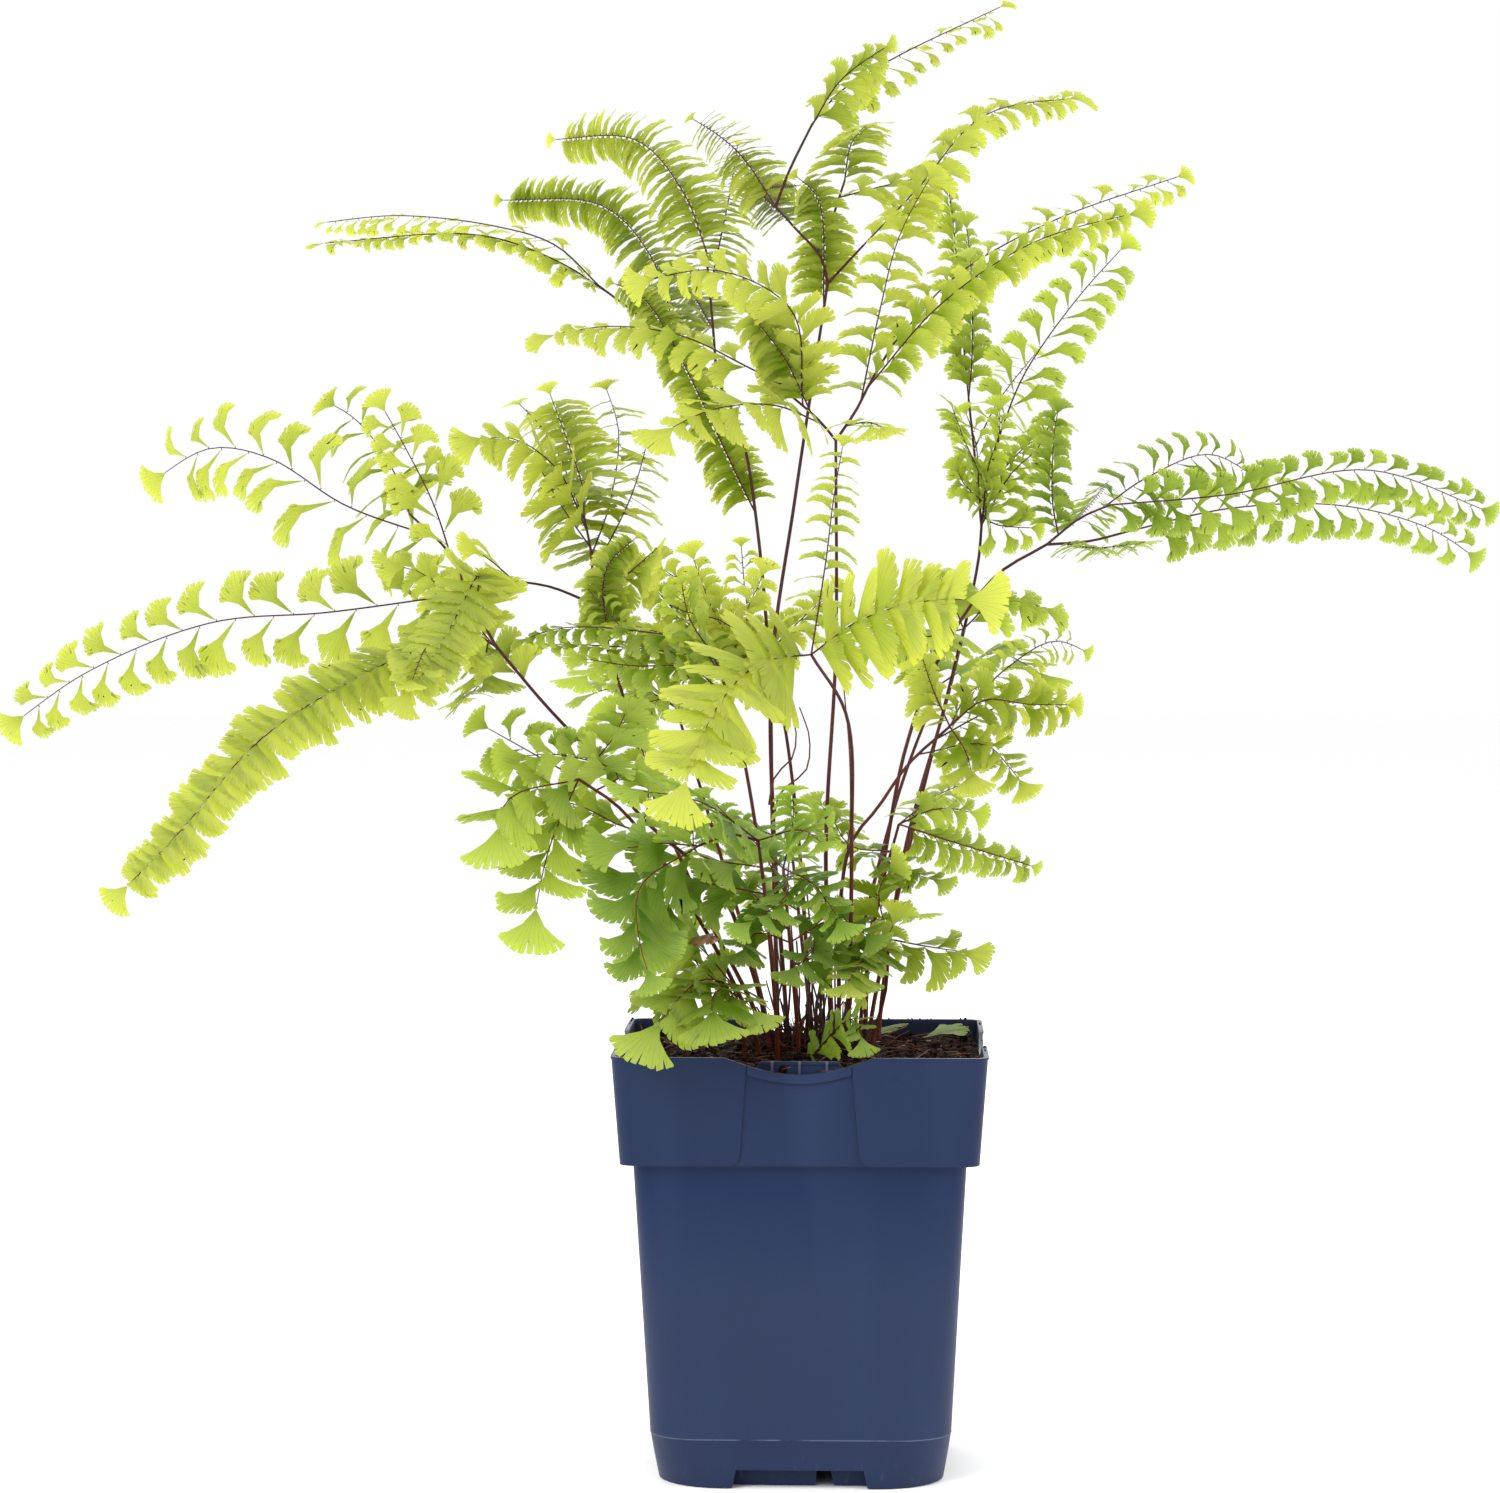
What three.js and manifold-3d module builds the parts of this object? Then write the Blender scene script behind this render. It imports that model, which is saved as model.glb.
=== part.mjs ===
// A maidenhair fern in a square plastic nursery pot.
//
// Millimetres, +Z up. The origin is the middle of the pot's underside, and -Y is the front,
// where the label pocket is. The pot and the soil are cut from lofted blocks. Each frond is a
// wiry stalk that forks into branches, and the branches carry feather-like pinnae. A pinna is
// one thin blade: a narrow rib with leaflets cut right down to it, alternately left and right.

import * as THREE from "three";
import { mergeVertices } from "three/addons/utils/BufferGeometryUtils.js";
import Module from "manifold-3d";

const wasm = await Module();
wasm.setup();

// Pot
const POT_HEIGHT = 128.5;
const RIM_HALF = 55;
const COLLAR_DEPTH = 32;
const COLLAR_FOOT_HALF = 52.6;
const BODY_TOP_HALF = 48.9;
const SEAM_HEIGHT = 14.6;
const SEAM_HALF = 44.7;
const FOOT_HALF = 42.5;
const WALL = 1.2;
const FLOOR_HEIGHT = 6;
const FOOT_CORNER = 20;
const SEAM_CORNER = 15;
const COLLAR_CORNER = 4.5;

// Collar face: two raised panels on each side of a shallow recess with a scooped top edge
const RECESS_DEPTH = 0.7;
const RECESS_TOP_HALF = 15;
const RECESS_FOOT_HALF = 17;
const SCOOP_HALF = 14.2;
const SCOOP_DEPTH = 4.4;
const SCOOP_BEAD = 2.7;

// Label pocket behind the front scoop
const LABEL_HALF = 13;
const LABEL_BELOW_RIM = 1.6;
const LABEL_DEPTH = 19;
const LABEL_SETBACK = 6;
const LABEL_RIB_PITCH = 8;

// Foot: a notch in each side, and a second ring inside it
const NOTCH_HALF = 19;
const NOTCH_HEIGHT = 5;
const SKIRT_HALF = 37.5;
const SKIRT_GAP = 3.7;
const SKIRT_GAP_X = 6.3;
const PAD_RADIUS = 8;
const DRAIN_RADIUS = 3.5;
const DRAIN_OFFSET = 24;

// Soil
const GAP = 0.3;
const SOIL_TOP = POT_HEIGHT - 8;
const MOUND_HEIGHT = 4;
const SOIL_LIFT = 2.5;
const STRAIGHT_HEIGHT = 7;
const ROOTED_DEPTH = 12;
const SOCKET_RADIUS = 1.7;

// Old growth at the crown
const CROWN = [4, 8, 5.5];
const RHIZOME_HALF = [6.5, 4.5, 3.5];
const OLD_STALKS = [[-5, -1, 24], [-3, 3, 33], [0, -4, 19], [1, 1, 38], [4, 3, 27], [5, -2, 21], [-1, 5, 15]];
const DROPPED = [
  { name: "fallen_leaflet_left", place: [20, 38, 12], heading: -20, size: 10, on: "soil", color: 0x6fa83a },
  { name: "fallen_leaflet_right", place: [39, 34, 12], heading: 15, size: 9, on: "soil", color: 0x7fae45 },
  {
    name: "withered_leaflet",
    place: [-24, -47, 60],
    heading: -130,
    size: 8,
    on: "base_left",
    color: 0x8a6a4c,
  },
];

// Fronds
const STALK_RADIUS = 0.9;
const STALK_TIP_RADIUS = 0.6;
const BRANCH_RADIUS = 0.55;
const FORK_GAP = 1.1;
const RIB_HALF = 0.6;
const BLADE = 0.6;
const LEAFLET_PITCH = 18;
const BARE_RIB = 5;
const LEAFLET_LEAN = 0.3;
const TIP_FAN = 0.65;
const CLEARANCE = 0.35;
const BENDS = [0, 0.35, -0.35, 0.7, -0.7];

// Solids

function solidOf(points, faces) {
  return new wasm.Manifold(new wasm.Mesh({
    numProp: 3,
    vertProperties: new Float32Array(points.flatMap((p) => [p.x, p.y, p.z])),
    triVerts: new Uint32Array(faces.flat()),
  }));
}

function solidFrom(geometry) {
  const bare = geometry.clone();
  bare.deleteAttribute("normal");
  bare.deleteAttribute("uv");
  const merged = mergeVertices(bare, 1e-4);
  return new wasm.Manifold(new wasm.Mesh({
    numProp: 3,
    vertProperties: new Float32Array(merged.attributes.position.array),
    triVerts: new Uint32Array(merged.index.array),
  }));
}

function meshFrom(solid, name, color, roughness) {
  const { vertProperties, triVerts } = solid.simplify(0.02).getMesh();
  const geometry = new THREE.BufferGeometry();
  geometry.setAttribute("position", new THREE.BufferAttribute(vertProperties, 3));
  geometry.setIndex(new THREE.BufferAttribute(triVerts, 1));
  geometry.computeVertexNormals();
  const look = new THREE.MeshStandardMaterial({ color, roughness, metalness: 0 });
  const mesh = new THREE.Mesh(geometry, look);
  mesh.name = name;
  return mesh;
}

// A closed skin over rings of equal length, each anticlockwise about the way that they rise.
function loft(rings) {
  const count = rings[0].length;
  const faces = [];
  for (let ring = 0; ring < rings.length - 1; ring += 1) {
    for (let k = 0; k < count; k += 1) {
      const low = ring * count + k;
      const lowNext = ring * count + ((k + 1) % count);
      faces.push([low, lowNext, lowNext + count]);
      faces.push([low, lowNext + count, low + count]);
    }
  }
  const top = (rings.length - 1) * count;
  for (let k = 1; k < count - 1; k += 1) {
    faces.push([0, k + 1, k]);
    faces.push([top, top + k, top + k + 1]);
  }
  return solidOf(rings.flat(), faces);
}

function roundedSquare(z, half, radius, steps = 3) {
  const ring = [];
  for (let corner = 0; corner < 4; corner += 1) {
    for (let k = 0; k <= steps; k += 1) {
      const angle = (corner + k / steps) * (Math.PI / 2);
      const middle = (corner + 0.5) * (Math.PI / 2);
      const reach = (half - radius) * Math.SQRT2;
      ring.push(new THREE.Vector3(
        Math.cos(middle) * reach + Math.cos(angle) * radius,
        Math.sin(middle) * reach + Math.sin(angle) * radius,
        z,
      ));
    }
  }
  return ring;
}

function block(width, depth, height, x, y, z) {
  return solidFrom(new THREE.BoxGeometry(width, depth, height).translate(x, y, z));
}

function upright(radius, low, high, sides, x, y) {
  const geometry = new THREE.CylinderGeometry(radius, radius, high - low, sides);
  geometry.rotateX(Math.PI / 2);
  return solidFrom(geometry.translate(x, y, (low + high) / 2));
}

// A flat shape drawn in X and Z, standing up between two depths.
function standing(shape, nearY, farY, curveSegments = 12) {
  const depth = farY - nearY;
  const geometry = new THREE.ExtrudeGeometry(shape, { depth, bevelEnabled: false, curveSegments });
  geometry.rotateX(Math.PI / 2);
  return solidFrom(geometry.translate(0, farY, 0));
}

function onFourSides(solid) {
  return [0, 90, 180, 270].map((turn) => solid.rotate([0, 0, turn]));
}

// Pot

function leanToCollar(solid) {
  const lean = Math.atan((RIM_HALF - COLLAR_FOOT_HALF) / COLLAR_DEPTH);
  return solid
    .translate([0, RIM_HALF, -POT_HEIGHT])
    .rotate([THREE.MathUtils.radToDeg(lean), 0, 0])
    .translate([0, -RIM_HALF, POT_HEIGHT]);
}

function scoopShape(radiusExtra) {
  const radius = (SCOOP_HALF ** 2 + SCOOP_DEPTH ** 2) / (2 * SCOOP_DEPTH);
  const shape = new THREE.Shape();
  shape.absarc(0, POT_HEIGHT - SCOOP_DEPTH + radius, radius + radiusExtra, 0, Math.PI * 2);
  return shape;
}

function recessShape() {
  const top = POT_HEIGHT + 2;
  const foot = POT_HEIGHT - COLLAR_DEPTH - 2;
  return new THREE.Shape([
    new THREE.Vector2(-RECESS_FOOT_HALF, foot),
    new THREE.Vector2(RECESS_FOOT_HALF, foot),
    new THREE.Vector2(RECESS_TOP_HALF, top),
    new THREE.Vector2(-RECESS_TOP_HALF, top),
  ]);
}

function notchShape() {
  return new THREE.Shape([
    new THREE.Vector2(-NOTCH_HALF, -1),
    new THREE.Vector2(NOTCH_HALF, -1),
    new THREE.Vector2(NOTCH_HALF - 1.5, NOTCH_HEIGHT),
    new THREE.Vector2(-NOTCH_HALF + 1.5, NOTCH_HEIGHT),
  ]);
}

function makePot() {
  const ledge = POT_HEIGHT - COLLAR_DEPTH;
  const outside = loft([
    roundedSquare(0, FOOT_HALF, FOOT_CORNER),
    roundedSquare(SEAM_HEIGHT, SEAM_HALF, SEAM_CORNER),
    roundedSquare(ledge, BODY_TOP_HALF, COLLAR_CORNER),
    roundedSquare(ledge, COLLAR_FOOT_HALF, COLLAR_CORNER),
    roundedSquare(POT_HEIGHT, RIM_HALF, COLLAR_CORNER),
  ]);
  const inside = loft([
    roundedSquare(FLOOR_HEIGHT, SEAM_HALF - 2.2 * WALL, SEAM_CORNER),
    roundedSquare(SEAM_HEIGHT, SEAM_HALF - WALL, SEAM_CORNER - WALL),
    roundedSquare(ledge + WALL, BODY_TOP_HALF - WALL, COLLAR_CORNER - WALL),
    roundedSquare(ledge + WALL, COLLAR_FOOT_HALF - 2 * WALL, COLLAR_CORNER - WALL),
    roundedSquare(POT_HEIGHT + 1, RIM_HALF - 2 * WALL, COLLAR_CORNER - WALL),
  ]);
  const underside = loft([
    roundedSquare(-1, FOOT_HALF - WALL, FOOT_CORNER - WALL),
    roundedSquare(FLOOR_HEIGHT - WALL, FOOT_HALF - WALL, FOOT_CORNER - WALL),
  ]);
  const recess = leanToCollar(standing(recessShape(), -RIM_HALF - 5, -RIM_HALF + RECESS_DEPTH));
  const scoop = leanToCollar(standing(scoopShape(0), -RIM_HALF - 5, -RIM_HALF + 6, 13));
  const bead = leanToCollar(
    standing(scoopShape(SCOOP_BEAD), -RIM_HALF + 0.1, -RIM_HALF + 2, 13)
      .subtract(standing(scoopShape(0), -RIM_HALF - 1, -RIM_HALF + 6, 13))
      .intersect(standing(recessShape(), -RIM_HALF, -RIM_HALF + 3)),
  ).trimByPlane([0, 0, -1], -POT_HEIGHT + 0.3);
  const notch = standing(notchShape(), -FOOT_HALF - 4, -FOOT_HALF + WALL + 2);

  let pot = outside.subtract(inside).subtract(underside);
  for (const cut of [...onFourSides(recess), ...onFourSides(scoop), ...onFourSides(notch)]) {
    pot = pot.subtract(cut);
  }
  for (const band of onFourSides(bead)) {
    pot = pot.add(band);
  }
  return pot.add(makeSkirt()).add(makeLabelPocket()).subtract(makeDrains());
}

function makeSkirt() {
  const reach = FLOOR_HEIGHT - WALL / 2;
  const outer = loft([
    roundedSquare(0, SKIRT_HALF, SEAM_CORNER),
    roundedSquare(reach, SKIRT_HALF, SEAM_CORNER),
  ]);
  const inner = loft([
    roundedSquare(-1, SKIRT_HALF - WALL, SEAM_CORNER - WALL),
    roundedSquare(reach + 1, SKIRT_HALF - WALL, SEAM_CORNER - WALL),
  ]);
  let skirt = outer.subtract(inner);
  const slot = block(SKIRT_GAP, 6, 2 * (FLOOR_HEIGHT - WALL), SKIRT_GAP_X, -SKIRT_HALF, 0);
  for (const cut of onFourSides(slot)) {
    skirt = skirt.subtract(cut);
  }
  return skirt.add(upright(PAD_RADIUS, 0, reach, 20, 0, 0));
}

function makeDrains() {
  const hole = upright(DRAIN_RADIUS, 2, FLOOR_HEIGHT + 2, 10, DRAIN_OFFSET, 0);
  return wasm.Manifold.union(onFourSides(hole));
}

function makeLabelPocket() {
  const top = POT_HEIGHT - LABEL_BELOW_RIM;
  const middleZ = top - LABEL_DEPTH / 2;
  const plateY = -RIM_HALF + LABEL_SETBACK;
  const webDepth = LABEL_SETBACK;
  const pieces = [block(2 * LABEL_HALF, 1, LABEL_DEPTH, 0, plateY, middleZ)];
  for (const side of [-1, 1]) {
    const x = side * (LABEL_HALF - 0.5);
    pieces.push(block(1, webDepth, LABEL_DEPTH - 7, x, plateY - webDepth / 2 + 0.4, middleZ - 3.5));
  }
  for (const step of [-1, 0, 1]) {
    const x = step * LABEL_RIB_PITCH;
    pieces.push(block(0.8, 1, LABEL_DEPTH - 1, x, plateY - 0.6, middleZ - 0.5));
  }
  return wasm.Manifold.union(pieces);
}

// Soil

function soilRise(x, y) {
  const mound = MOUND_HEIGHT * Math.exp(-((x - 4) ** 2 + (y - 2) ** 2) / 450);
  const lumps = 0.9 * Math.sin(x * 0.31 + 1.3) * Math.cos(y * 0.27)
    + 0.5 * Math.sin(x * 0.13 - y * 0.41);
  return mound + lumps + SOIL_LIFT;
}

function makeSoil(sockets) {
  const ledge = POT_HEIGHT - COLLAR_DEPTH;
  const fill = loft([
    roundedSquare(FLOOR_HEIGHT + GAP, SEAM_HALF - 2.2 * WALL - GAP, SEAM_CORNER),
    roundedSquare(SEAM_HEIGHT, SEAM_HALF - WALL - GAP, SEAM_CORNER - WALL),
    roundedSquare(ledge + WALL + GAP, BODY_TOP_HALF - WALL - GAP, COLLAR_CORNER - WALL),
    roundedSquare(ledge + WALL + GAP, COLLAR_FOOT_HALF - 2 * WALL - GAP, COLLAR_CORNER - WALL),
    roundedSquare(POT_HEIGHT + 1, RIM_HALF - 2 * WALL - GAP, COLLAR_CORNER - WALL),
  ]);
  const ground = new THREE.BoxGeometry(120, 120, SOIL_TOP + 20, 9, 9, 1);
  ground.translate(0, 0, (SOIL_TOP - 20) / 2);
  const spots = ground.attributes.position;
  for (let k = 0; k < spots.count; k += 1) {
    if (spots.getZ(k) > 0) {
      spots.setZ(k, SOIL_TOP + soilRise(spots.getX(k), spots.getY(k)));
    }
  }
  const labelY = -RIM_HALF + LABEL_SETBACK / 2;
  const labelRoom = block(
    2 * (LABEL_HALF + GAP), LABEL_SETBACK + 2 + 2 * GAP, LABEL_DEPTH + GAP,
    0, labelY, POT_HEIGHT - LABEL_BELOW_RIM - (LABEL_DEPTH + GAP) / 2,
  );
  return fill.intersect(solidFrom(ground)).subtract(labelRoom).subtract(sockets);
}

// Fronds
//
// Points are [x, y, height above the soil]. Branch 0 is the stalk, whose end is the fork.
// branches: [parent, part of the way along it, then the points that the branch runs through]
// pinnae: [parent, part of the way, leaflet length, tilt, turn, then the rib's points]
// A tilt of 0 lays the leaflets' upper faces to the sky and 90 turns them to the front; the
// turn then swings that direction about the vertical.
const FRONDS = [
  {
    name: "front_tall",
    green: 0xa9c94a,
    stalk: [[9, 0, 0], [7, -2, 65], [10, -6, 125], [10, -10, 188]],
    branches: [
      [0, 1, [5, -8, 194], [-8, -2, 205], [-14, 0, 209]],
      [0, 1, [16, -8, 197], [20, -4, 205], [27, 0, 217]],
    ],
    pinnae: [
      [1, 1, 14, 35, 0, [-37, 5, 220], [-59, 10, 223], [-83, 10, 219]],
      [1, 0.2, 17, 40, 0, [-9, -30, 198], [-26, -45, 196], [-43, -60, 187]],
      [1, 0.35, 12, 20, 0, [-5, -15, 212], [-11, -20, 220], [-17, -24, 227]],
      [1, 0.45, 14, 30, 0, [-3, -25, 226], [-24, -35, 237], [-50, -40, 233]],
      [2, 0.4, 12, 80, 0, [23, 0, 227], [29, 5, 250], [40, 10, 271]],
      [2, 1, 13, 50, 0, [46, 10, 238], [75, 20, 255], [118, 35, 271]],
      [2, 0.55, 14, 60, 0, [41, -15, 228], [69, -25, 246], [102, -30, 255]],
      [2, 0.15, 12, 20, 0, [20, -25, 193], [26, -40, 190]],
    ],
  },
  {
    name: "back_tall",
    green: 0x7fae3c,
    stalk: [[-5, 15, 0], [-9, 20, 64], [-10, 25, 119], [-3, 30, 171], [7, 30, 237]],
    branches: [
      [0, 1, [5, 30, 245], [-3, 32, 254], [-9, 34, 261]],
      [1, 0.35, [7, 40, 254], [12, 50, 270]],
      [0, 1, [13, 25, 243], [18, 20, 248]],
      [1, 1, [-5, 38, 272], [2, 44, 287]],
    ],
    pinnae: [
      [4, 1, 11, 60, 0, [10, 50, 297], [26, 58, 308], [64, 75, 328]],
      [4, 0.9, 9, 60, 0, [11, 30, 299], [27, 15, 309]],
      [2, 1, 14, 20, 0, [14, 20, 278], [20, -30, 281]],
      [1, 1, 10, 40, 0, [-19, 40, 276], [-27, 50, 284], [-37, 60, 291]],
      [3, 1, 14, 45, 0, [34, 25, 265], [55, 40, 289], [88, 60, 297]],
      [2, 0.8, 13, 20, 0, [26, 65, 270], [48, 80, 276]],
      [1, 0.8, 13, 20, 0, [-14, 60, 268], [-2, 92, 272]],
    ],
  },
  {
    name: "left_high",
    green: 0x86b440,
    stalk: [[-8, 20, 0], [-10, 28, 78], [-11, 35, 118], [-15, 45, 162], [-20, 50, 191], [-28, 55, 209]],
    branches: [
      [0, 1, [-40, 55, 218], [-53, 58, 229], [-65, 60, 238]],
      [0, 1, [-30, 65, 231], [-32, 70, 250]],
    ],
    pinnae: [
      [1, 1, 11, 35, 0, [-79, 62, 251], [-97, 65, 257], [-129, 70, 261], [-156, 75, 259]],
      [1, 0.9, 10, 25, 0, [-77, 50, 245], [-101, 45, 253], [-154, 40, 250]],
      [1, 0.3, 13, 45, 0, [-50, 72, 249], [-66, 80, 265], [-100, 85, 267]],
      [2, 1, 14, 50, 0, [-39, 75, 268], [-55, 85, 286], [-84, 95, 287]],
      [2, 0.7, 12, 30, 0, [-25, 90, 270], [-23, 110, 288]],
      [2, 0.4, 12, 15, 0, [-40, 95, 240], [-58, 120, 250]],
    ],
  },
  {
    name: "right_low",
    green: 0x6fa336,
    stalk: [[19, 5, 0], [20, 6, 34], [25, 8, 64], [31, 10, 95], [41, 14, 122], [58, 18, 147], [74, 20, 157]],
    branches: [
      [0, 1, [87, 22, 158], [99, 24, 161]],
      [0, 1, [84, 18, 165], [93, 16, 169]],
    ],
    pinnae: [
      [1, 1, 13, 45, 0, [130, 28, 168], [164, 32, 169], [192, 36, 162], [208, 38, 152]],
      [2, 1, 12, 40, 0, [128, 0, 172], [168, -15, 179], [203, -30, 166]],
      [2, 0.9, 12, 50, 0, [106, 35, 178], [126, 50, 185], [144, 60, 176]],
      [2, 0.2, 12, 60, 40, [76, 30, 171], [77, 40, 192], [79, 45, 202]],
      [1, 0.2, 13, 15, 0, [88, -20, 156], [101, -60, 158]],
      [2, 0.5, 13, 10, 0, [90, 60, 171], [97, 100, 178]],
    ],
  },
  {
    name: "right_high",
    green: 0x7aab3b,
    stalk: [[23, 25, 0], [31, 40, 62], [45, 52, 112], [54, 60, 152], [55, 62, 163]],
    branches: [
      [0, 1, [53, 66, 184], [51, 70, 203]],
      [0, 1, [57, 58, 177], [61, 55, 193]],
    ],
    pinnae: [
      [1, 1, 10, 80, 50, [49, 75, 225], [47, 82, 251], [44, 90, 278]],
      [2, 1, 15, 75, 0, [68, 52, 210], [84, 50, 233], [101, 50, 252]],
      [1, 0.6, 13, 40, 0, [61, 90, 203], [75, 120, 221]],
      [1, 0.2, 13, 30, 0, [68, 80, 187], [84, 105, 197]],
      [2, 0.4, 13, 30, 0, [49, 30, 189], [44, 5, 201]],
      [2, 0.1, 11, 20, 0, [60, 50, 163], [73, 40, 162]],
    ],
  },
  {
    name: "left_low",
    green: 0x93bb45,
    stalk: [[-10, -5, 0], [-16, -8, 32], [-25, -10, 54], [-47, -18, 75], [-60, -22, 92], [-77, -27, 111],
      [-90, -30, 127]],
    branches: [
      [0, 1, [-98, -28, 141], [-104, -25, 154], [-117, -15, 166]],
      [0, 1, [-95, -40, 130], [-102, -50, 129]],
    ],
    pinnae: [
      [1, 0.35, 14, 65, 0, [-139, -35, 137], [-173, -40, 134], [-208, -45, 120], [-232, -50, 103]],
      [1, 0.75, 15, 75, 0, [-138, -5, 169], [-161, 0, 183], [-180, 5, 186], [-200, 10, 175]],
      [1, 1, 14, 60, 0, [-125, 5, 181], [-137, 20, 195], [-149, 30, 202]],
      [1, 0.6, 13, 60, 0, [-108, -35, 169], [-115, -45, 185], [-123, -50, 200]],
      [2, 1, 15, 50, 0, [-122, -75, 121], [-151, -95, 102], [-172, -105, 77], [-191, -110, 57]],
      [2, 0.6, 17, 35, 0, [-104, -85, 129], [-106, -120, 118]],
      [2, 0.2, 14, 15, 0, [-97, -10, 115], [-107, 20, 109]],
    ],
  },
  {
    name: "left_mid",
    green: 0x74a63a,
    stalk: [[-12, 10, 0], [-32, 12, 49], [-47, 14, 84], [-56, 18, 113], [-65, 20, 139]],
    branches: [
      [0, 1, [-77, 15, 144], [-88, 10, 146]],
      [0, 1, [-65, 22, 152], [-68, 30, 166]],
    ],
    pinnae: [
      [2, 1, 16, 60, 0, [-69, 38, 175], [-74, 44, 189], [-81, 50, 207]],
      [2, 0.5, 14, 50, 0, [-61, 50, 171], [-60, 75, 193], [-66, 95, 210]],
      [2, 0.8, 14, 50, 0, [-75, 10, 180], [-88, 0, 189], [-104, -5, 187]],
      [2, 0.9, 14, 30, 0, [-81, 70, 190], [-95, 100, 204]],
      [1, 1, 10, 40, 0, [-94, 0, 152], [-102, -5, 158]],
      [0, 1, 12, 30, 0, [-52, 5, 149], [-42, -15, 157]],
    ],
  },
  {
    name: "front_centre",
    green: 0xbcd65c,
    stalk: [[14, -12, 0], [15, -35, 67], [14, -65, 107], [4, -90, 126]],
    branches: [],
    pinnae: [
      [0, 1, 17, 75, 0, [-10, -110, 124], [-22, -130, 111], [-32, -145, 84]],
      [0, 1, 15, 68, 0, [18, -105, 136], [34, -115, 141], [56, -125, 142]],
      [0, 1, 9, 80, 0, [8, -75, 153], [10, -68, 170], [13, -60, 188]],
    ],
  },
  {
    name: "right_front",
    green: 0x9dc24c,
    stalk: [[11, -5, 0], [14, -12, 66], [23, -15, 79], [32, -18, 92], [44, -20, 103]],
    branches: [],
    pinnae: [
      [0, 1, 13, 60, 0, [49, -28, 95], [51, -35, 85]],
      [0, 1, 14, 35, 0, [54, -25, 111], [67, -30, 110], [82, -35, 110]],
      [0, 1, 13, 45, 0, [61, -10, 120], [76, 0, 128], [87, 5, 124]],
      [0, 1, 12, 60, 0, [39, -30, 114], [35, -40, 126]],
      [0, 1, 12, 20, 0, [50, 5, 112], [58, 25, 116]],
    ],
  },
  {
    name: "mid_back",
    green: 0x8db544,
    stalk: [[2, 18, 0], [-3, 30, 78], [-9, 38, 112], [-14, 40, 121]],
    branches: [],
    pinnae: [
      [0, 1, 14, 45, 0, [-31, 45, 140], [-49, 50, 152]],
      [0, 1, 13, 50, 0, [-19, 60, 140], [-21, 70, 159]],
      [0, 1, 13, 30, 0, [-35, 30, 128], [-50, 20, 128]],
      [0, 1, 12, 30, 0, [0, 55, 135], [12, 65, 145]],
    ],
  },
  {
    name: "low_left",
    green: 0x79ab3c,
    stalk: [[-13, -15, 0], [-33, -35, 52], [-52, -50, 80], [-64, -55, 89]],
    branches: [],
    pinnae: [
      [0, 1, 14, 70, 0, [-72, -65, 69], [-77, -72, 42]],
      [0, 1, 13, 50, 0, [-79, -50, 97], [-96, -45, 106]],
      [0, 1, 13, 30, 0, [-55, -42, 100], [-50, -25, 112]],
      [0, 1, 13, 50, 0, [-83, -70, 84], [-86, -85, 68]],
    ],
  },
  {
    name: "low_front",
    green: 0x6da437,
    stalk: [[-7, -22, 0], [-9, -36, 40], [-12, -50, 71]],
    branches: [
      [0, 1, [-20, -56, 73], [-29, -60, 70]],
    ],
    pinnae: [
      [1, 1, 14, 45, 0, [-40, -64, 71], [-49, -68, 70], [-58, -72, 73]],
      [1, 1, 15, 60, 0, [-45, -80, 59], [-44, -90, 43], [-40, -95, 32]],
      [0, 1, 16, 40, 0, [-28, -80, 84], [-49, -105, 89]],
      [0, 1, 13, 40, 0, [0, -65, 75], [8, -85, 72]],
    ],
  },
  {
    name: "base_left",
    green: 0x7fb03f,
    stalk: [[-17, -20, 0], [-18, -26, 18], [-20, -32, 27]],
    branches: [],
    pinnae: [
      [0, 1, 14, 50, 0, [-29, -50, 30], [-38, -62, 22], [-46, -70, 11]],
      [0, 1, 13, 30, 0, [-25, -58, 26], [-24, -74, 17]],
      [0, 1, 12, 20, 0, [-35, -25, 28], [-50, -22, 22]],
      [0, 1, 13, 50, 0, [-30, -45, 40], [-42, -56, 48]],
    ],
  },
  {
    name: "low_right",
    green: 0x5f9a33,
    stalk: [[17, 0, 0], [23, -2, 50], [29, -5, 73]],
    branches: [],
    pinnae: [
      [0, 1, 12, 30, 0, [41, -8, 78], [55, -10, 76]],
      [0, 1, 13, 30, 0, [44, -20, 69], [70, -35, 62]],
      [0, 1, 12, 20, 0, [40, 18, 80], [52, 40, 84]],
    ],
  },
  {
    name: "base_right",
    green: 0x5c9a34,
    stalk: [[21, -8, 0], [25, -10, 23], [26, -12, 39]],
    branches: [],
    pinnae: [
      [0, 1, 13, 35, 0, [38, -15, 37], [55, -20, 35]],
      [0, 1, 12, 60, 0, [23, -20, 54], [29, -30, 64]],
      [0, 1, 13, 30, 0, [18, -40, 35], [13, -60, 28]],
    ],
  },
  {
    name: "centre_low",
    green: 0x66a037,
    stalk: [[-1, -16, 0], [-3, -30, 37], [-5, -38, 62]],
    branches: [],
    pinnae: [
      [0, 1, 13, 60, 0, [-2, -48, 76], [-2, -62, 88]],
      [0, 1, 12, 30, 0, [-15, -25, 70], [-31, -10, 84]],
      [0, 1, 14, 50, 0, [5, -58, 58], [14, -72, 46]],
      [0, 1, 12, 40, 0, [-4, -58, 55], [-18, -70, 46]],
    ],
  },
  {
    name: "mid_left",
    green: 0x6aa238,
    stalk: [[-7, 0, 0], [-13, -5, 65], [-20, -8, 104], [-26, -10, 123]],
    branches: [],
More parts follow.
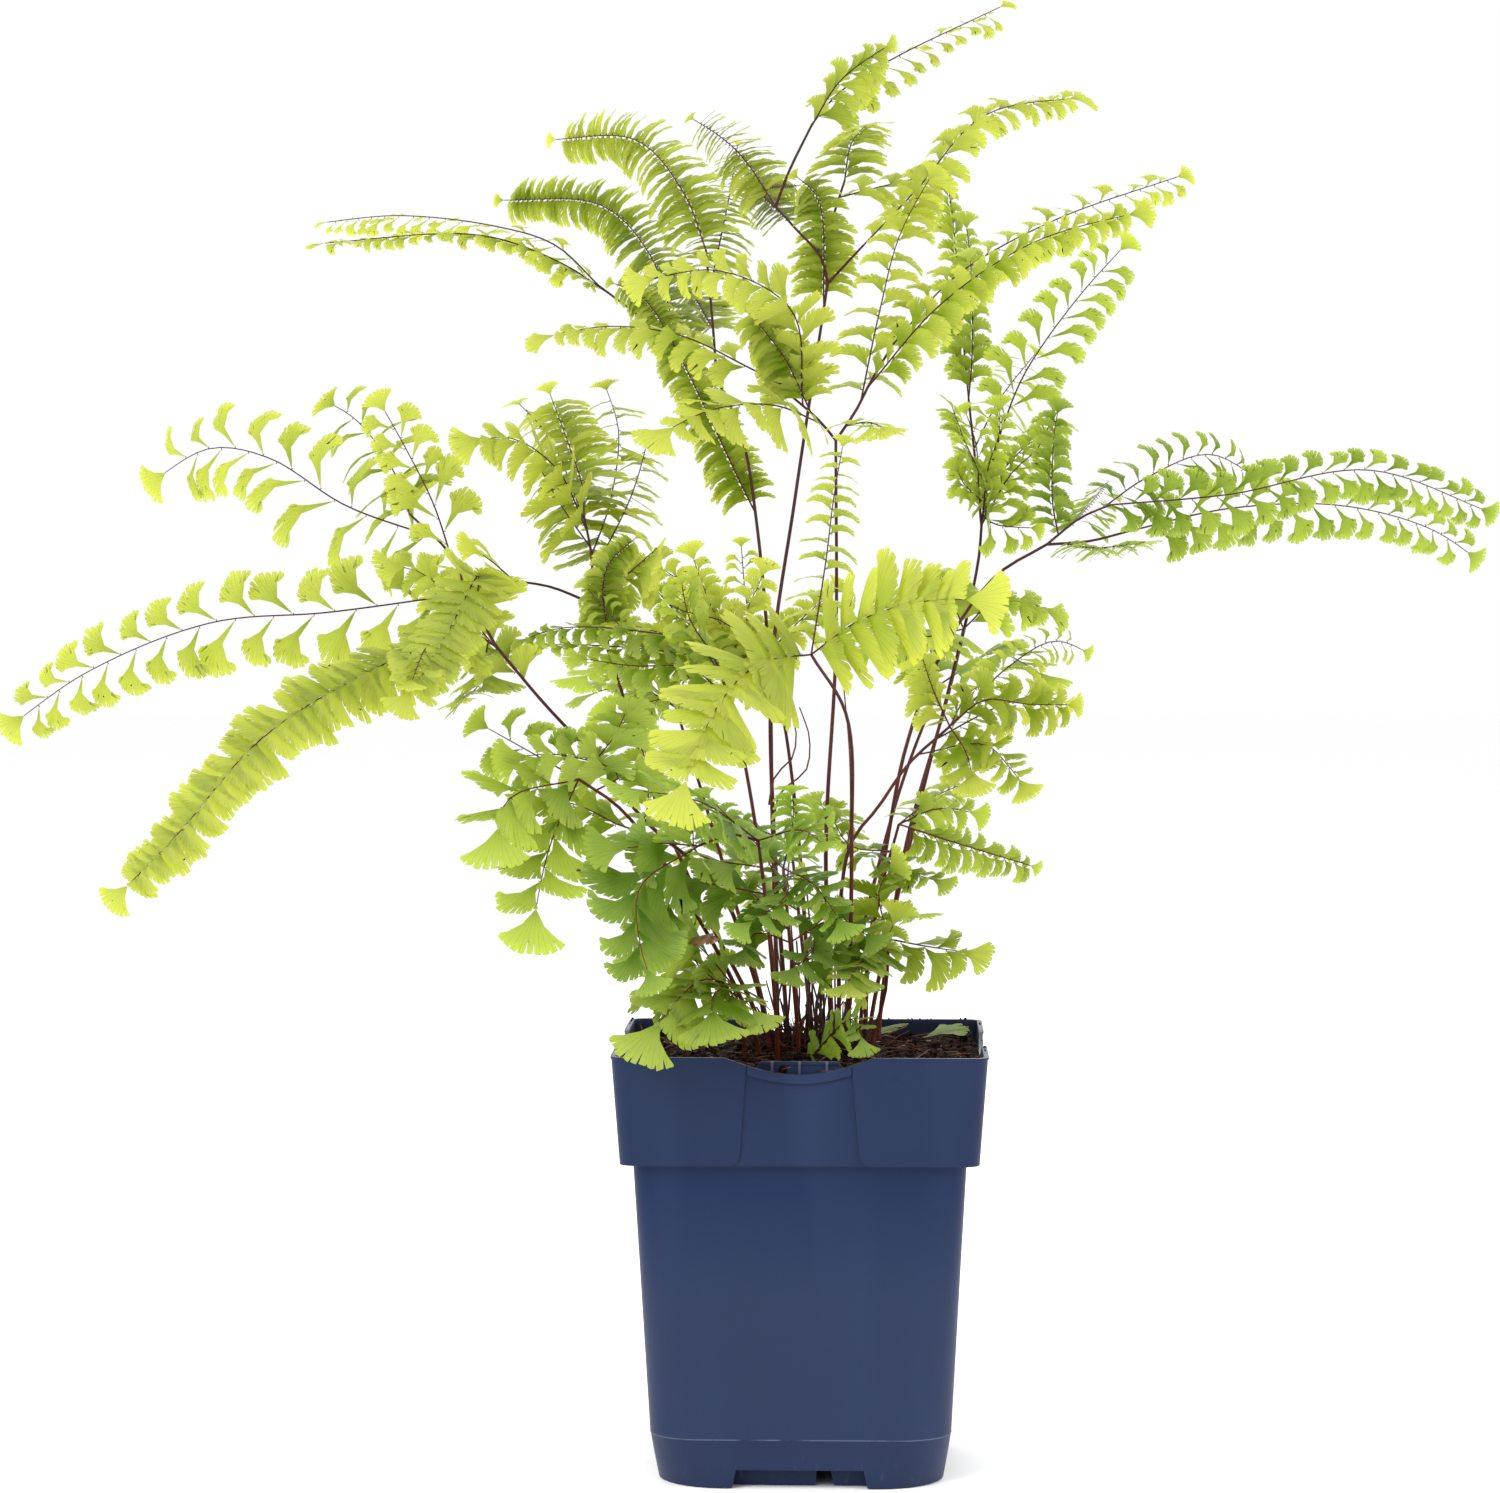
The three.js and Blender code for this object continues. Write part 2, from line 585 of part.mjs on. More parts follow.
    pinnae: [
      [0, 1, 13, 45, 0, [-49, -12, 126], [-66, -12, 127], [-80, -12, 127]],
      [0, 1, 14, 45, 0, [-33, -25, 135], [-35, -40, 147]],
    ],
  },
  {
    name: "right_mid",
    green: 0x84b242,
    stalk: [[20, 15, 0], [32, 25, 63], [45, 32, 115], [49, 35, 131]],
    branches: [],
    pinnae: [
      [0, 1, 13, 35, 0, [60, 40, 140], [81, 45, 135]],
      [0, 1, 12, 40, 0, [44, 48, 143], [40, 62, 150]],
      [0, 1, 13, 25, 0, [38, 18, 129], [20, 10, 128]],
    ],
  },
  {
    name: "rear_left",
    green: 0x6aa238,
    stalk: [[-11, 24, 0], [-30, 55, 70], [-42, 80, 105]],
    branches: [],
    pinnae: [
      [0, 1, 15, -20, 0, [-60, 95, 118], [-78, 118, 112]],
      [0, 1, 15, -30, 0, [-38, 105, 122], [-40, 140, 118]],
      [0, 1, 14, 10, 0, [-55, 75, 112], [-75, 72, 108]],
    ],
  },
  {
    name: "rear_right",
    green: 0x74a63a,
    stalk: [[12, 28, 0], [28, 60, 75], [42, 88, 112]],
    branches: [],
    pinnae: [
      [0, 1, 15, -20, 0, [60, 100, 122], [80, 118, 112]],
      [0, 1, 15, -30, 0, [38, 115, 126], [32, 148, 118]],
      [0, 1, 14, 20, 0, [28, 85, 122], [12, 92, 128]],
    ],
  },
  {
    name: "rear_low",
    green: 0x5f9a33,
    stalk: [[2, 27, 0], [-2, 50, 40], [-5, 70, 62]],
    branches: [],
    pinnae: [
      [0, 1, 14, -20, 0, [-25, 88, 68], [-42, 105, 55]],
      [0, 1, 14, -30, 0, [8, 95, 70], [14, 125, 58]],
      [0, 1, 13, 0, 0, [-22, 66, 58], [-42, 60, 45]],
    ],
  },
];

// A small repeatable source of chance, so that every run grows the same plant.
function seeded(seed) {
  let state = seed;
  return () => {
    state = (state * 1664525 + 1013904223) % 4294967296;
    return state / 4294967296;
  };
}

function spot([x, y, height]) {
  return new THREE.Vector3(x, y, SOIL_TOP + height);
}

function curveThrough(points) {
  return new THREE.CatmullRomCurve3(points, false, "centripetal");
}

// A thin rod through a curve's points, with some more rings between each two of them.
function rodAlong(curve, radius, tipRadius, sides, between) {
  const steps = (curve.points.length - 1) * between;
  const across = new THREE.Vector3(1, 0.2, 0);
  const rings = [];
  for (let step = 0; step <= steps; step += 1) {
    const middle = curve.getPoint(step / steps);
    const along = curve.getTangent(step / steps);
    across.addScaledVector(along, -across.dot(along)).normalize();
    const third = new THREE.Vector3().crossVectors(along, across);
    const width = THREE.MathUtils.lerp(radius, tipRadius, step / steps);
    const ring = [];
    for (let side = 0; side < sides; side += 1) {
      const angle = (side / sides) * Math.PI * 2;
      ring.push(middle.clone()
        .addScaledVector(across, Math.cos(angle) * width)
        .addScaledVector(third, Math.sin(angle) * width));
    }
    rings.push(ring);
  }
  return loft(rings);
}

// A thin plate over a patch of triangles, split alike on both faces.
class Plate {
  constructor() {
    this.points = [];
    this.faces = [];
  }

  point(middle, normal) {
    this.points.push(middle.clone().addScaledVector(normal, BLADE / 2));
    this.points.push(middle.clone().addScaledVector(normal, -BLADE / 2));
    return this.points.length / 2 - 1;
  }

  triangle(a, b, c) {
    this.faces.push([2 * a, 2 * b, 2 * c]);
    this.faces.push([2 * c + 1, 2 * b + 1, 2 * a + 1]);
  }

  edge(outline) {
    outline.forEach((a, k) => {
      const b = outline[(k + 1) % outline.length];
      this.faces.push([2 * a, 2 * a + 1, 2 * b + 1]);
      this.faces.push([2 * a, 2 * b + 1, 2 * b]);
    });
  }

  solid() {
    return solidOf(this.points, this.faces);
  }
}

// The rib's frame at one place: along it, out of the blade, and towards its right edge.
function ribFrame(curve, part, face) {
  const along = curve.getTangentAt(part);
  const normal = face.clone().addScaledVector(along, -face.dot(along)).normalize();
  const right = new THREE.Vector3().crossVectors(along, normal);
  return { middle: curve.getPointAt(part), along, normal, right };
}

function faceDirection(tilt, turn) {
  const lean = THREE.MathUtils.degToRad(tilt);
  const swing = THREE.MathUtils.degToRad(turn);
  return new THREE.Vector3(
    Math.sin(lean) * Math.sin(swing),
    -Math.sin(lean) * Math.cos(swing),
    Math.cos(lean),
  );
}

// Places along a rib where leaflets join it, alternately on its left and right edges.
function ribStations(curve, face, fanReach) {
  const length = curve.getLength();
  const pairs = Math.max(1, Math.round((length - BARE_RIB - fanReach) / LEAFLET_PITCH));
  const count = 2 * pairs + 4;
  const bare = BARE_RIB / length;
  const end = 1 - fanReach / length;
  const stations = [];
  for (let k = 0; k < count; k += 1) {
    const part = k < 2 ? 0 : bare + (end - bare) * ((k - 2) / (count - 3));
    const frame = ribFrame(curve, part, face);
    const side = k % 2 === 0 ? -1 : 1;
    const corner = frame.middle.clone().addScaledVector(frame.right, side * RIB_HALF);
    stations.push({ ...frame, part, side, corner });
  }
  return stations;
}

// The free points of the leaflet between two stations on the same edge of a rib: its outer
// lower corner, the cut in its outer margin, and its outer upper corner.
function leafletPoints(near, far, length, bend) {
  const base = far.corner.clone().sub(near.corner);
  const out = near.right.clone().multiplyScalar(near.side * Math.cos(bend));
  out.addScaledVector(near.normal, Math.sin(bend));
  const reach = out.clone().multiplyScalar(Math.cos(LEAFLET_LEAN));
  reach.addScaledVector(near.along, Math.sin(LEAFLET_LEAN)).multiplyScalar(length);
  const normal = new THREE.Vector3().crossVectors(out, near.along).multiplyScalar(near.side).normalize();
  const middles = [[0.2, 1], [0.5, 0.8], [0.82, 0.88]].map(([forward, outward]) => near.corner.clone()
    .addScaledVector(base, forward)
    .addScaledVector(reach, outward));
  return { middles, normal };
}

function leafletPlate(near, far, leaflet) {
  const plate = new Plate();
  const a = plate.point(near.corner, near.normal);
  const [low, cut, high] = leaflet.middles.map((middle) => plate.point(middle, leaflet.normal));
  const b = plate.point(far.corner, far.normal);
  addLeaflet(plate, near.side, a, [low, cut, high], b);
  plate.edge(near.side > 0 ? [a, low, cut, high, b] : [b, high, cut, low, a]);
  return plate.solid();
}

function addLeaflet(plate, side, a, [low, cut, high], b) {
  for (const [p, q, r] of [[a, low, cut], [a, cut, b], [b, cut, high]]) {
    plate.triangle(...(side > 0 ? [p, q, r] : [r, q, p]));
  }
}

// A whole pinna: the rib's strip, its leaflets and the fan at its tip, as one thin plate.
function bladeSolid(stations, leaflets, fanSize) {
  const plate = new Plate();
  const corners = stations.map((station) => plate.point(station.corner, station.normal));
  for (let k = 0; k + 2 < corners.length; k += 1) {
    const strip = [corners[k], corners[k + 1], corners[k + 2]];
    plate.triangle(...(k % 2 === 0 ? strip : strip.reverse()));
  }
  const rightEdge = [];
  const leftEdge = [];
  for (let k = 0; k + 2 < corners.length; k += 1) {
    const edge = k % 2 === 0 ? leftEdge : rightEdge;
    edge.push(corners[k]);
    const leaflet = leaflets[k];
    if (leaflet) {
      const free = leaflet.middles.map((middle) => plate.point(middle, leaflet.normal));
      addLeaflet(plate, stations[k].side, corners[k], free, corners[k + 2]);
      edge.push(...free);
    }
  }
  const [left, right] = corners.slice(-2);
  const fan = addFan(plate, left, right, stations[stations.length - 1], fanSize);
  plate.edge([...rightEdge, right, ...fan, left, ...leftEdge.reverse()]);
  return plate.solid();
}

function addFan(plate, left, right, end, size) {
  const fan = [[0.45, 0.6], [0.05, 0.85], [-0.45, 0.6]].map(([across, forward]) => plate.point(
    end.middle.clone()
      .addScaledVector(end.right, across * size)
      .addScaledVector(end.along, forward * size),
    end.normal,
  ));
  plate.triangle(right, fan[0], fan[1]);
  plate.triangle(right, fan[1], left);
  plate.triangle(left, fan[1], fan[2]);
  return fan;
}

function fanPlate(stations, size) {
  const plate = new Plate();
  const [left, right] = stations.slice(-2).map((station) => plate.point(station.corner, station.normal));
  const fan = addFan(plate, left, right, stations[stations.length - 1], size);
  plate.edge([right, ...fan, left]);
  return plate.solid();
}

// Everything already standing, so that new leaflets can be bent clear of it.
const neighbours = [];

function remember(solid, frond, rib) {
  const { min, max } = solid.boundingBox();
  const box = new THREE.Box3(new THREE.Vector3(...min), new THREE.Vector3(...max));
  neighbours.push({ solid, box: box.expandByScalar(CLEARANCE), frond, rib });
}

function isClear(solid, frond, rib) {
  const { min, max } = solid.boundingBox();
  const box = new THREE.Box3(new THREE.Vector3(...min), new THREE.Vector3(...max));
  return neighbours.every((other) => (other.frond === frond && (other.rib === rib || other.rib < 0))
    || !other.box.intersectsBox(box)
    || other.solid.minGap(solid, 2 * CLEARANCE) > CLEARANCE);
}

function growStems(frond) {
  const [x, y] = frond.stalk[0];
  const stalkPoints = [[x, y, -ROOTED_DEPTH], [x, y, STRAIGHT_HEIGHT], ...frond.stalk.slice(1)].map(spot);
  const [beforeFork, fork] = stalkPoints.slice(-2);
  const lines = [curveThrough(stalkPoints)];
  for (const [parent, part, ...points] of frond.branches) {
    lines.push(curveThrough([lines[parent].getPointAt(part), ...points.map(spot)]));
  }
  const ribs = frond.pinnae.map(([parent, part, length, tilt, turn, ...points]) => {
    const curve = curveThrough([lines[parent].getPointAt(part), ...points.map(spot)]);
    return { length, stations: ribStations(curve, faceDirection(tilt, turn), TIP_FAN * length), curve };
  });
  const shortened = fork.clone().lerp(beforeFork, FORK_GAP / fork.distanceTo(beforeFork));
  const stalk = curveThrough([...stalkPoints.slice(0, -1), shortened]);
  const rod = rodAlong(stalk, STALK_RADIUS, STALK_TIP_RADIUS, 5, 1);
  const branches = lines.slice(1).map((line) => rodAlong(line, BRANCH_RADIUS, BRANCH_RADIUS, 4, 2));
  return { name: frond.name, green: frond.green, root: stalkPoints[0], rod, branches, ribs };
}

function growLeaflets(plant, number, chance) {
  plant.blades = plant.ribs.map((rib, ribNumber) => {
    const { stations } = rib;
    const leaflets = stations.map((near, k) => {
      if (k < 2 || k + 2 >= stations.length) {
        return null;
      }
      const taper = 1 - 0.4 * near.part ** 2;
      const length = rib.length * taper * (0.92 + 0.16 * chance());
      const droop = -0.2 + 0.3 * chance();
      for (const bend of BENDS) {
        const leaflet = leafletPoints(near, stations[k + 2], length, droop + bend);
        const solid = leafletPlate(near, stations[k + 2], leaflet);
        if (isClear(solid, number, ribNumber)) {
          remember(solid, number, ribNumber);
          return leaflet;
        }
      }
      return null;
    });
    const fanSize = [0.8, 0.5, 0.2].map((part) => part * rib.length)
      .find((size) => isClear(fanPlate(stations, size), number, ribNumber));
    remember(fanPlate(stations, fanSize), number, ribNumber);
    return bladeSolid(stations, leaflets, fanSize);
  });
}

// What is left of old growth at the crown, and leaflets that have dropped.

function rhizome(extra) {
  const [wide, deep, high] = RHIZOME_HALF.map((half) => half + extra);
  const { x, y, z } = spot(CROWN);
  const ball = new THREE.SphereGeometry(1, 8, 5).rotateX(Math.PI / 2);
  return solidFrom(ball.scale(wide, deep, high).translate(x, y, z));
}

function makeOldStalks() {
  const middle = spot(CROWN);
  const stubs = OLD_STALKS.map(([x, y, height]) => {
    const foot = new THREE.Vector3(middle.x + 0.55 * x, middle.y + 0.55 * y, middle.z);
    const top = new THREE.Vector3(middle.x + x, middle.y + y, middle.z + height);
    const bowed = foot.clone().lerp(top, 0.5).add(new THREE.Vector3(0.06 * x, 0.06 * y, 0));
    return rodAlong(curveThrough([foot, bowed, top]), 0.7, 0.5, 4, 1);
  });
  return wasm.Manifold.union([rhizome(0), ...stubs]);
}

function looseLeaflet(place, heading, size, droop) {
  const plate = new Plate();
  const up = new THREE.Vector3(0, 0, 1);
  const start = spot(place);
  const corners = [-50, -30, -10, 10, 30, 50].map((swing, k) => {
    const angle = THREE.MathUtils.degToRad(heading + swing);
    const reach = size * (k % 2 === 0 ? 1 : 0.84);
    const fall = -droop * Math.abs(swing) / 50;
    return plate.point(start.clone().add(new THREE.Vector3(
      Math.cos(angle) * reach,
      Math.sin(angle) * reach,
      fall,
    )), up);
  });
  const base = plate.point(start, up);
  for (let k = 0; k + 1 < corners.length; k += 1) {
    plate.triangle(base, corners[k], corners[k + 1]);
  }
  plate.edge([base, ...corners]);
  return plate.solid();
}

// Lowers a loose piece until it lies on what is below it.
function settle(solid, below) {
  let lowered = solid;
  for (let step = 0; step < 16; step += 1) {
    lowered = lowered.translate([0, 0, GAP - below.minGap(lowered, 30)]);
  }
  return lowered;
}

const plants = FRONDS.map(growStems);
plants.forEach((plant, number) => {
  remember(plant.rod, number, -1);
  plant.branches.forEach((branch) => remember(branch, number, -1));
  plant.ribs.forEach((rib, ribNumber) => {
    remember(rodAlong(rib.curve, RIB_HALF, RIB_HALF, 4, 2), number, ribNumber);
  });
});

const pot = makePot();
remember(pot, plants.length, 0);
const sockets = wasm.Manifold.union(plants.map(({ root }) => (
  upright(SOCKET_RADIUS, root.z - GAP, SOIL_TOP + 10, 5, root.x, root.y)
)));
const soil = makeSoil(sockets.add(rhizome(GAP)));
const oldStalks = makeOldStalks();
remember(oldStalks, plants.length + 2, 0);
remember(soil, plants.length + 1, 0);

const chance = seeded(41);
plants.forEach((plant, number) => growLeaflets(plant, number, chance));

const fern = new THREE.Group();
fern.add(meshFrom(pot, "pot", 0x2b3a63, 0.45));
fern.add(meshFrom(soil, "soil", 0x2a1c14, 1));
fern.add(meshFrom(oldStalks, "old_stalks", 0x4a2a1c, 0.8));
for (const plant of plants) {
  plant.leaves = wasm.Manifold.union([...plant.branches, ...plant.blades]);
  fern.add(meshFrom(plant.rod, `${plant.name}_stalk`, 0x3a1f1c, 0.5));
  fern.add(meshFrom(plant.leaves, `${plant.name}_leaves`, plant.green, 0.55));
}
for (const { name, place, heading, size, on, color } of DROPPED) {
  const below = on === "soil" ? soil : plants.find((plant) => plant.name === on).leaves;
  const leaflet = settle(looseLeaflet(place, heading, size, 1.5), below);
  fern.add(meshFrom(leaflet, name, color, 0.7));
}

export default fern;
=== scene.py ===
# %% [markdown]
# # A maidenhair fern in a square nursery pot
#
# This lesson dresses a measured model of a potted fern. The measured model holds the pot, the soil
# and every frond at its true place, but its leaflets are few and plain. Here each of those parts
# gets the finer shape and finish that the eye expects, and keeps the place that it already has.
#
# Lengths are metres, Z is up, and the front of the pot faces -Y.

import math
import random

import bmesh
import bpy
import numpy as np
from mathutils import Matrix, Vector
from mathutils import noise as drift


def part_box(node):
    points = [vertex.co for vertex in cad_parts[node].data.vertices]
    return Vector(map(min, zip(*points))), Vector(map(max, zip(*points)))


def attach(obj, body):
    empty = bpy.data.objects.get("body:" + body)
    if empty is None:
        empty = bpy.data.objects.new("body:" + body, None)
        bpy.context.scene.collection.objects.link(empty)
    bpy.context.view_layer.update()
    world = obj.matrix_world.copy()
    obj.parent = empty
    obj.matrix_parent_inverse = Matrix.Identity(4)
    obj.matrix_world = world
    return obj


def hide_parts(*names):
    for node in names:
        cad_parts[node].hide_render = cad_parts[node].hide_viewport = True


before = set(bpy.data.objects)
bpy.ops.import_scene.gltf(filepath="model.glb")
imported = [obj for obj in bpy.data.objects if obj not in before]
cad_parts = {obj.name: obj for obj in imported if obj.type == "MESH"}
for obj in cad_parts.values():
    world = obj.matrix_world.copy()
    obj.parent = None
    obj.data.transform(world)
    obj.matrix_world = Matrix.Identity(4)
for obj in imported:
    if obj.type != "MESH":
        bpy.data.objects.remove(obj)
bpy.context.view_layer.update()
print("measured parts:", len(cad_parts))

# %% [markdown]
# ## The camera
#
# The two rim edges of the pot give the viewpoint: the back edge looks a little shorter and higher
# than the front edge. That puts the lens about 1.3 m in front of the rim and 15 cm above it, on a
# long lens, so upright lines stay upright.

# %% Camera
lens = bpy.data.cameras.new("camera")
lens.lens = 107.95
lens.clip_start = 0.05
camera = bpy.data.objects.new("camera", lens)
camera.location = (0.025, -1.355, 0.2765)
camera.rotation_euler = (math.radians(90 - 2.53), 0, math.radians(1.73))
bpy.context.scene.collection.objects.link(camera)
bpy.context.scene.camera = camera
print("camera stands", round(-camera.location.y, 2), "m in front of the pot's middle")

# %% [markdown]
# ## Floor and light
#
# Fern leaflets are so thin that most of their colour is light that has come through them. A studio
# picture on white uses this: light comes from all round, also from behind. A pale world does that
# here, with a lamp behind the plant. A large lamp at the upper left and a weaker one at the right
# give the pot its soft bands.

# %% Floor and lamps
def make_lamp(name, place, aim, width, height, power):
    lamp = bpy.data.lights.new(name, "AREA")
    lamp.shape = "RECTANGLE"
    lamp.size = width
    lamp.size_y = height
    lamp.energy = power
    body = bpy.data.objects.new(name, lamp)
    body.location = place
    body.rotation_euler = (Vector(aim) - Vector(place)).to_track_quat("-Z", "Y").to_euler()
    bpy.context.scene.collection.objects.link(body)
    return body


make_lamp("lamp_front_left", (-0.75, -1.0, 1.0), (0, 0, 0.15), 0.8, 0.9, 18)
make_lamp("lamp_right", (1.1, -0.5, 0.6), (0, 0, 0.15), 0.5, 1.0, 6)
make_lamp("lamp_behind", (0.2, 1.2, 0.9), (0, 0, 0.25), 1.2, 0.8, 12)

world = bpy.data.worlds.new("pale_room")
world.use_nodes = True
world.node_tree.nodes["Background"].inputs["Color"].default_value = (1.0, 1.0, 1.0, 1)
world.node_tree.nodes["Background"].inputs["Strength"].default_value = 1.0
bpy.context.scene.world = world
bpy.context.scene.view_settings.view_transform = "Standard"

bpy.ops.mesh.primitive_plane_add(size=12, location=(0, 0, -0.0003))
floor = bpy.context.object
floor.name = "floor"
print("floor side in m:", round(floor.dimensions.x))

# %% [markdown]
# ## Shader sums in plain Python
#
# A finish is a small network of nodes. Wiring it by hand is slow to read, so one class wraps a
# node's output and lets Python's own operators add the Math nodes. `1 - mask` then reads as it
# would on paper. A second class holds the material and has one method for every other node.

# %% Wires and finishes
class Wire:
    """One output of a shader node. Sums on it add Math nodes."""

    def __init__(self, finish, socket):
        self.finish = finish
        self.socket = socket

    def sum(self, operation, *values):
        settings = {"operation": operation}
        return self.finish.node("ShaderNodeMath", settings, dict(enumerate(values)))

    def __add__(self, other):
        return self.sum("ADD", self, other)

    def __radd__(self, other):
        return self.sum("ADD", other, self)

    def __sub__(self, other):
        return self.sum("SUBTRACT", self, other)

    def __rsub__(self, other):
        return self.sum("SUBTRACT", other, self)

    def __mul__(self, other):
        return self.sum("MULTIPLY", self, other)

    def __rmul__(self, other):
        return self.sum("MULTIPLY", other, self)

    def __truediv__(self, other):
        return self.sum("DIVIDE", self, other)

    def __rtruediv__(self, other):
        return self.sum("DIVIDE", other, self)

    def size(self):
        return self.sum("ABSOLUTE", self)

    def wave(self):
        return self.sum("SINE", self)

    def between(self, low, high):
        """0 at low and 1 at high, and held there beyond them."""
        inputs = {"Value": self, "From Min": low, "From Max": high}
        return self.finish.node("ShaderNodeMapRange", {"clamp": True}, inputs)


class Finish:
    """A material in the making."""

    def __init__(self, name):
        self.material = bpy.data.materials.new(name)
        self.material.use_nodes = True
        self.tree = self.material.node_tree
        self.tree.nodes.clear()

    def node(self, kind, settings=None, inputs=None, output=0):
        """Adds a node: its settings first, then the value or the link of each socket."""
        node = self.tree.nodes.new(kind)
        for key, value in (settings or {}).items():
            setattr(node, key, value)
        for key, value in (inputs or {}).items():
            if isinstance(value, Wire):
                self.tree.links.new(value.socket, node.inputs[key])
            else:
                node.inputs[key].default_value = value
        return Wire(self, node.outputs[output])

    def mix(self, mask, first, second):
        """A colour between two colours."""
        settings = {"data_type": "RGBA"}
        return self.node("ShaderNodeMix", settings, {0: mask, 6: first, 7: second}, output=2)

    def place(self):
        """Where a point is on the object, in metres."""
        return self.node("ShaderNodeTexCoord", output="Object")

    def part(self, vector, axis):
        return self.node("ShaderNodeSeparateXYZ", inputs={"Vector": vector}, output=axis)

    def stretched(self, scale):
        """The place, scaled on each axis. A low scale draws a noise out along that axis."""
        settings = {"operation": "MULTIPLY"}
        return self.node("ShaderNodeVectorMath", settings, {0: self.place(), 1: scale})

    def noise(self, scale, detail=3.0, roughness=0.5, vector=None):
        """Soft random patches. The scale is in patches for each metre."""
        inputs = {"Vector": vector or self.place(), "Scale": scale, "Detail": detail}
        return self.node("ShaderNodeTexNoise", None, {**inputs, "Roughness": roughness})

    def bump(self, height, depth, strength=1.0, before=None):
        inputs = {"Height": height, "Distance": depth, "Strength": strength}
        if before:
            inputs["Normal"] = before
        return self.node("ShaderNodeBump", None, inputs)

    def surface(self, inputs):
        """Ends the finish with the common surface node."""
        return self.end(self.node("ShaderNodeBsdfPrincipled", None, inputs))

    def end(self, shader):
        target = self.tree.nodes.new("ShaderNodeOutputMaterial")
        self.tree.links.new(shader.socket, target.inputs["Surface"])
        print("finish", self.material.name, "has", len(self.tree.nodes), "nodes")
        return self.material


def rgb(red, green, blue):
    """A colour as it is read from a screen, from 0 to 255, turned into the shader's linear one."""
    return tuple((side / 255) ** 2.2 for side in (red, green, blue)) + (1.0,)


# %% [markdown]
# The floor is a plain pale sheet. Even so it gets a trace of paper grain, because a perfectly flat
# white reads as a hole in the picture.

# %% Floor finish
paper = Finish("floor_paper")
paper_tone = paper.mix(paper.noise(90, 4), rgb(255, 255, 255), rgb(252, 252, 253))
floor.data.materials.append(paper.surface({"Base Color": paper_tone, "Roughness": 0.9}))

# %% [markdown]
# ## The pot
#
# A nursery pot is blown or pressed from one thin sheet of plastic. Here it is lofted: the same
# rounded square is drawn at each height where the wall changes, outside from foot to rim and then
# inside from rim to floor, and a skin joins the outlines. One loft like this has a true wall
# thickness, which a single sheet with a modifier would lose at the rim.

# %% Outlines and lofts
MM = 0.001
RIM_TOP = 128.5
LEDGE = 96.5
SEAM = 14.6
COLLAR_LEAN = 2.4 / 32

# Each row is a height, half the side and the radius of the corners, in mm.
WALL = (
    (0, 42.5, 20), (7, 43.6, 17.6), (SEAM - 0.25, 44.66, 15), (SEAM, 44.8, 15),
    (SEAM + 0.25, 44.72, 15), (40, 46.0, 11.7), (68, 47.4, 8.1), (LEDGE, 48.9, 4.5),
    (LEDGE, 52.6, 4.5), (RIM_TOP - 0.9, 54.9, 4.5), (RIM_TOP - 0.7, 55.15, 4.6),
    (RIM_TOP, 55.2, 4.6), (RIM_TOP, 53.7, 3.5), (LEDGE + 1.2, 51.3, 3.5),
    (LEDGE + 1.2, 47.7, 3.5), (SEAM, 43.5, 13.8), (6, 42.1, 14.5),
)


def rounded_square(height, half, radius, steps=8):
    ring = []
    for corner in range(4):
        middle = math.radians(90 * corner + 45)
        reach = (half - radius) * math.sqrt(2)
        for step in range(steps + 1):
            angle = math.radians(90 * (corner + step / steps))
            x = math.cos(middle) * reach + math.cos(angle) * radius
            y = math.sin(middle) * reach + math.sin(angle) * radius
            ring.append((x, y, height))
    return ring


def new_object(name, corners, faces):
    mesh = bpy.data.meshes.new(name)
    mesh.from_pydata(corners, [], faces)
    thing = bpy.data.objects.new(name, mesh)
    bpy.context.scene.collection.objects.link(thing)
    return thing


def squares(*rows):
    return [rounded_square(*row) for row in rows]


def loft(rings):
    """Corners and faces of a closed skin over rings in mm, with a lid on each end."""
    count = len(rings[0])
    corners = [[MM * side for side in point] for ring in rings for point in ring]
    faces = [range(count - 1, -1, -1), range(len(corners) - count, len(corners))]
    for low in range(0, len(corners) - count, count):
        for k in range(count):
            after = (k + 1) % count
            faces.append((low + k, low + after, low + after + count, low + k + count))
    return corners, faces


pot = new_object("pot_wall", *loft(squares(*WALL)))
print("pot wall has", len(pot.data.vertices), "corners")

# %% [markdown]
# The underside is open: a rim stands on the floor, and the pot's floor sits 5 mm above it. The
# recess between the two raised panels, the scooped top edge and the notch in the foot are the same
# on all four sides. Each is a cutter: an outline drawn in X and Z, pushed through the wall, and
# copied round the pot. Boolean modifiers then take the cutters away.

# %% Cutters
def prism(outline, near, far, lean=0.0, turns=(0, 90, 180, 270)):
    """Corners and faces of an outline that runs between two depths, once for each turn."""
    corners, faces = [], []
    count = len(outline)
    for turn in turns:
        spin = Matrix.Rotation(math.radians(turn), 3, "Z")
        start = len(corners)
        for depth in (near, far):
            for x, z in outline:
                corners.append(spin @ Vector((x, depth + lean * (RIM_TOP - z), z)) * MM)
        faces.append(range(start, start + count))
        faces.append(range(start + 2 * count - 1, start + count - 1, -1))
        for k in range(count):
            after = (k + 1) % count
            faces.append((start + after, start + k, start + k + count, start + after + count))
    return corners, faces


def cut(body, *cutter, keep="DIFFERENCE"):
    tool = new_object("cutter", *cutter)
    step = body.modifiers.new("cut", "BOOLEAN")
    step.operation = keep
    step.solver = "EXACT"
    step.object = tool
    settle(body)
    bpy.data.objects.remove(tool)


def settle(body):
    """Turns a body's modifiers into plain faces."""
    shaped = body.evaluated_get(bpy.context.evaluated_depsgraph_get())
    body.data = bpy.data.meshes.new_from_object(shaped)
    body.modifiers.clear()


SCOOP_DEPTH, SCOOP_HALF = 4.9, 22


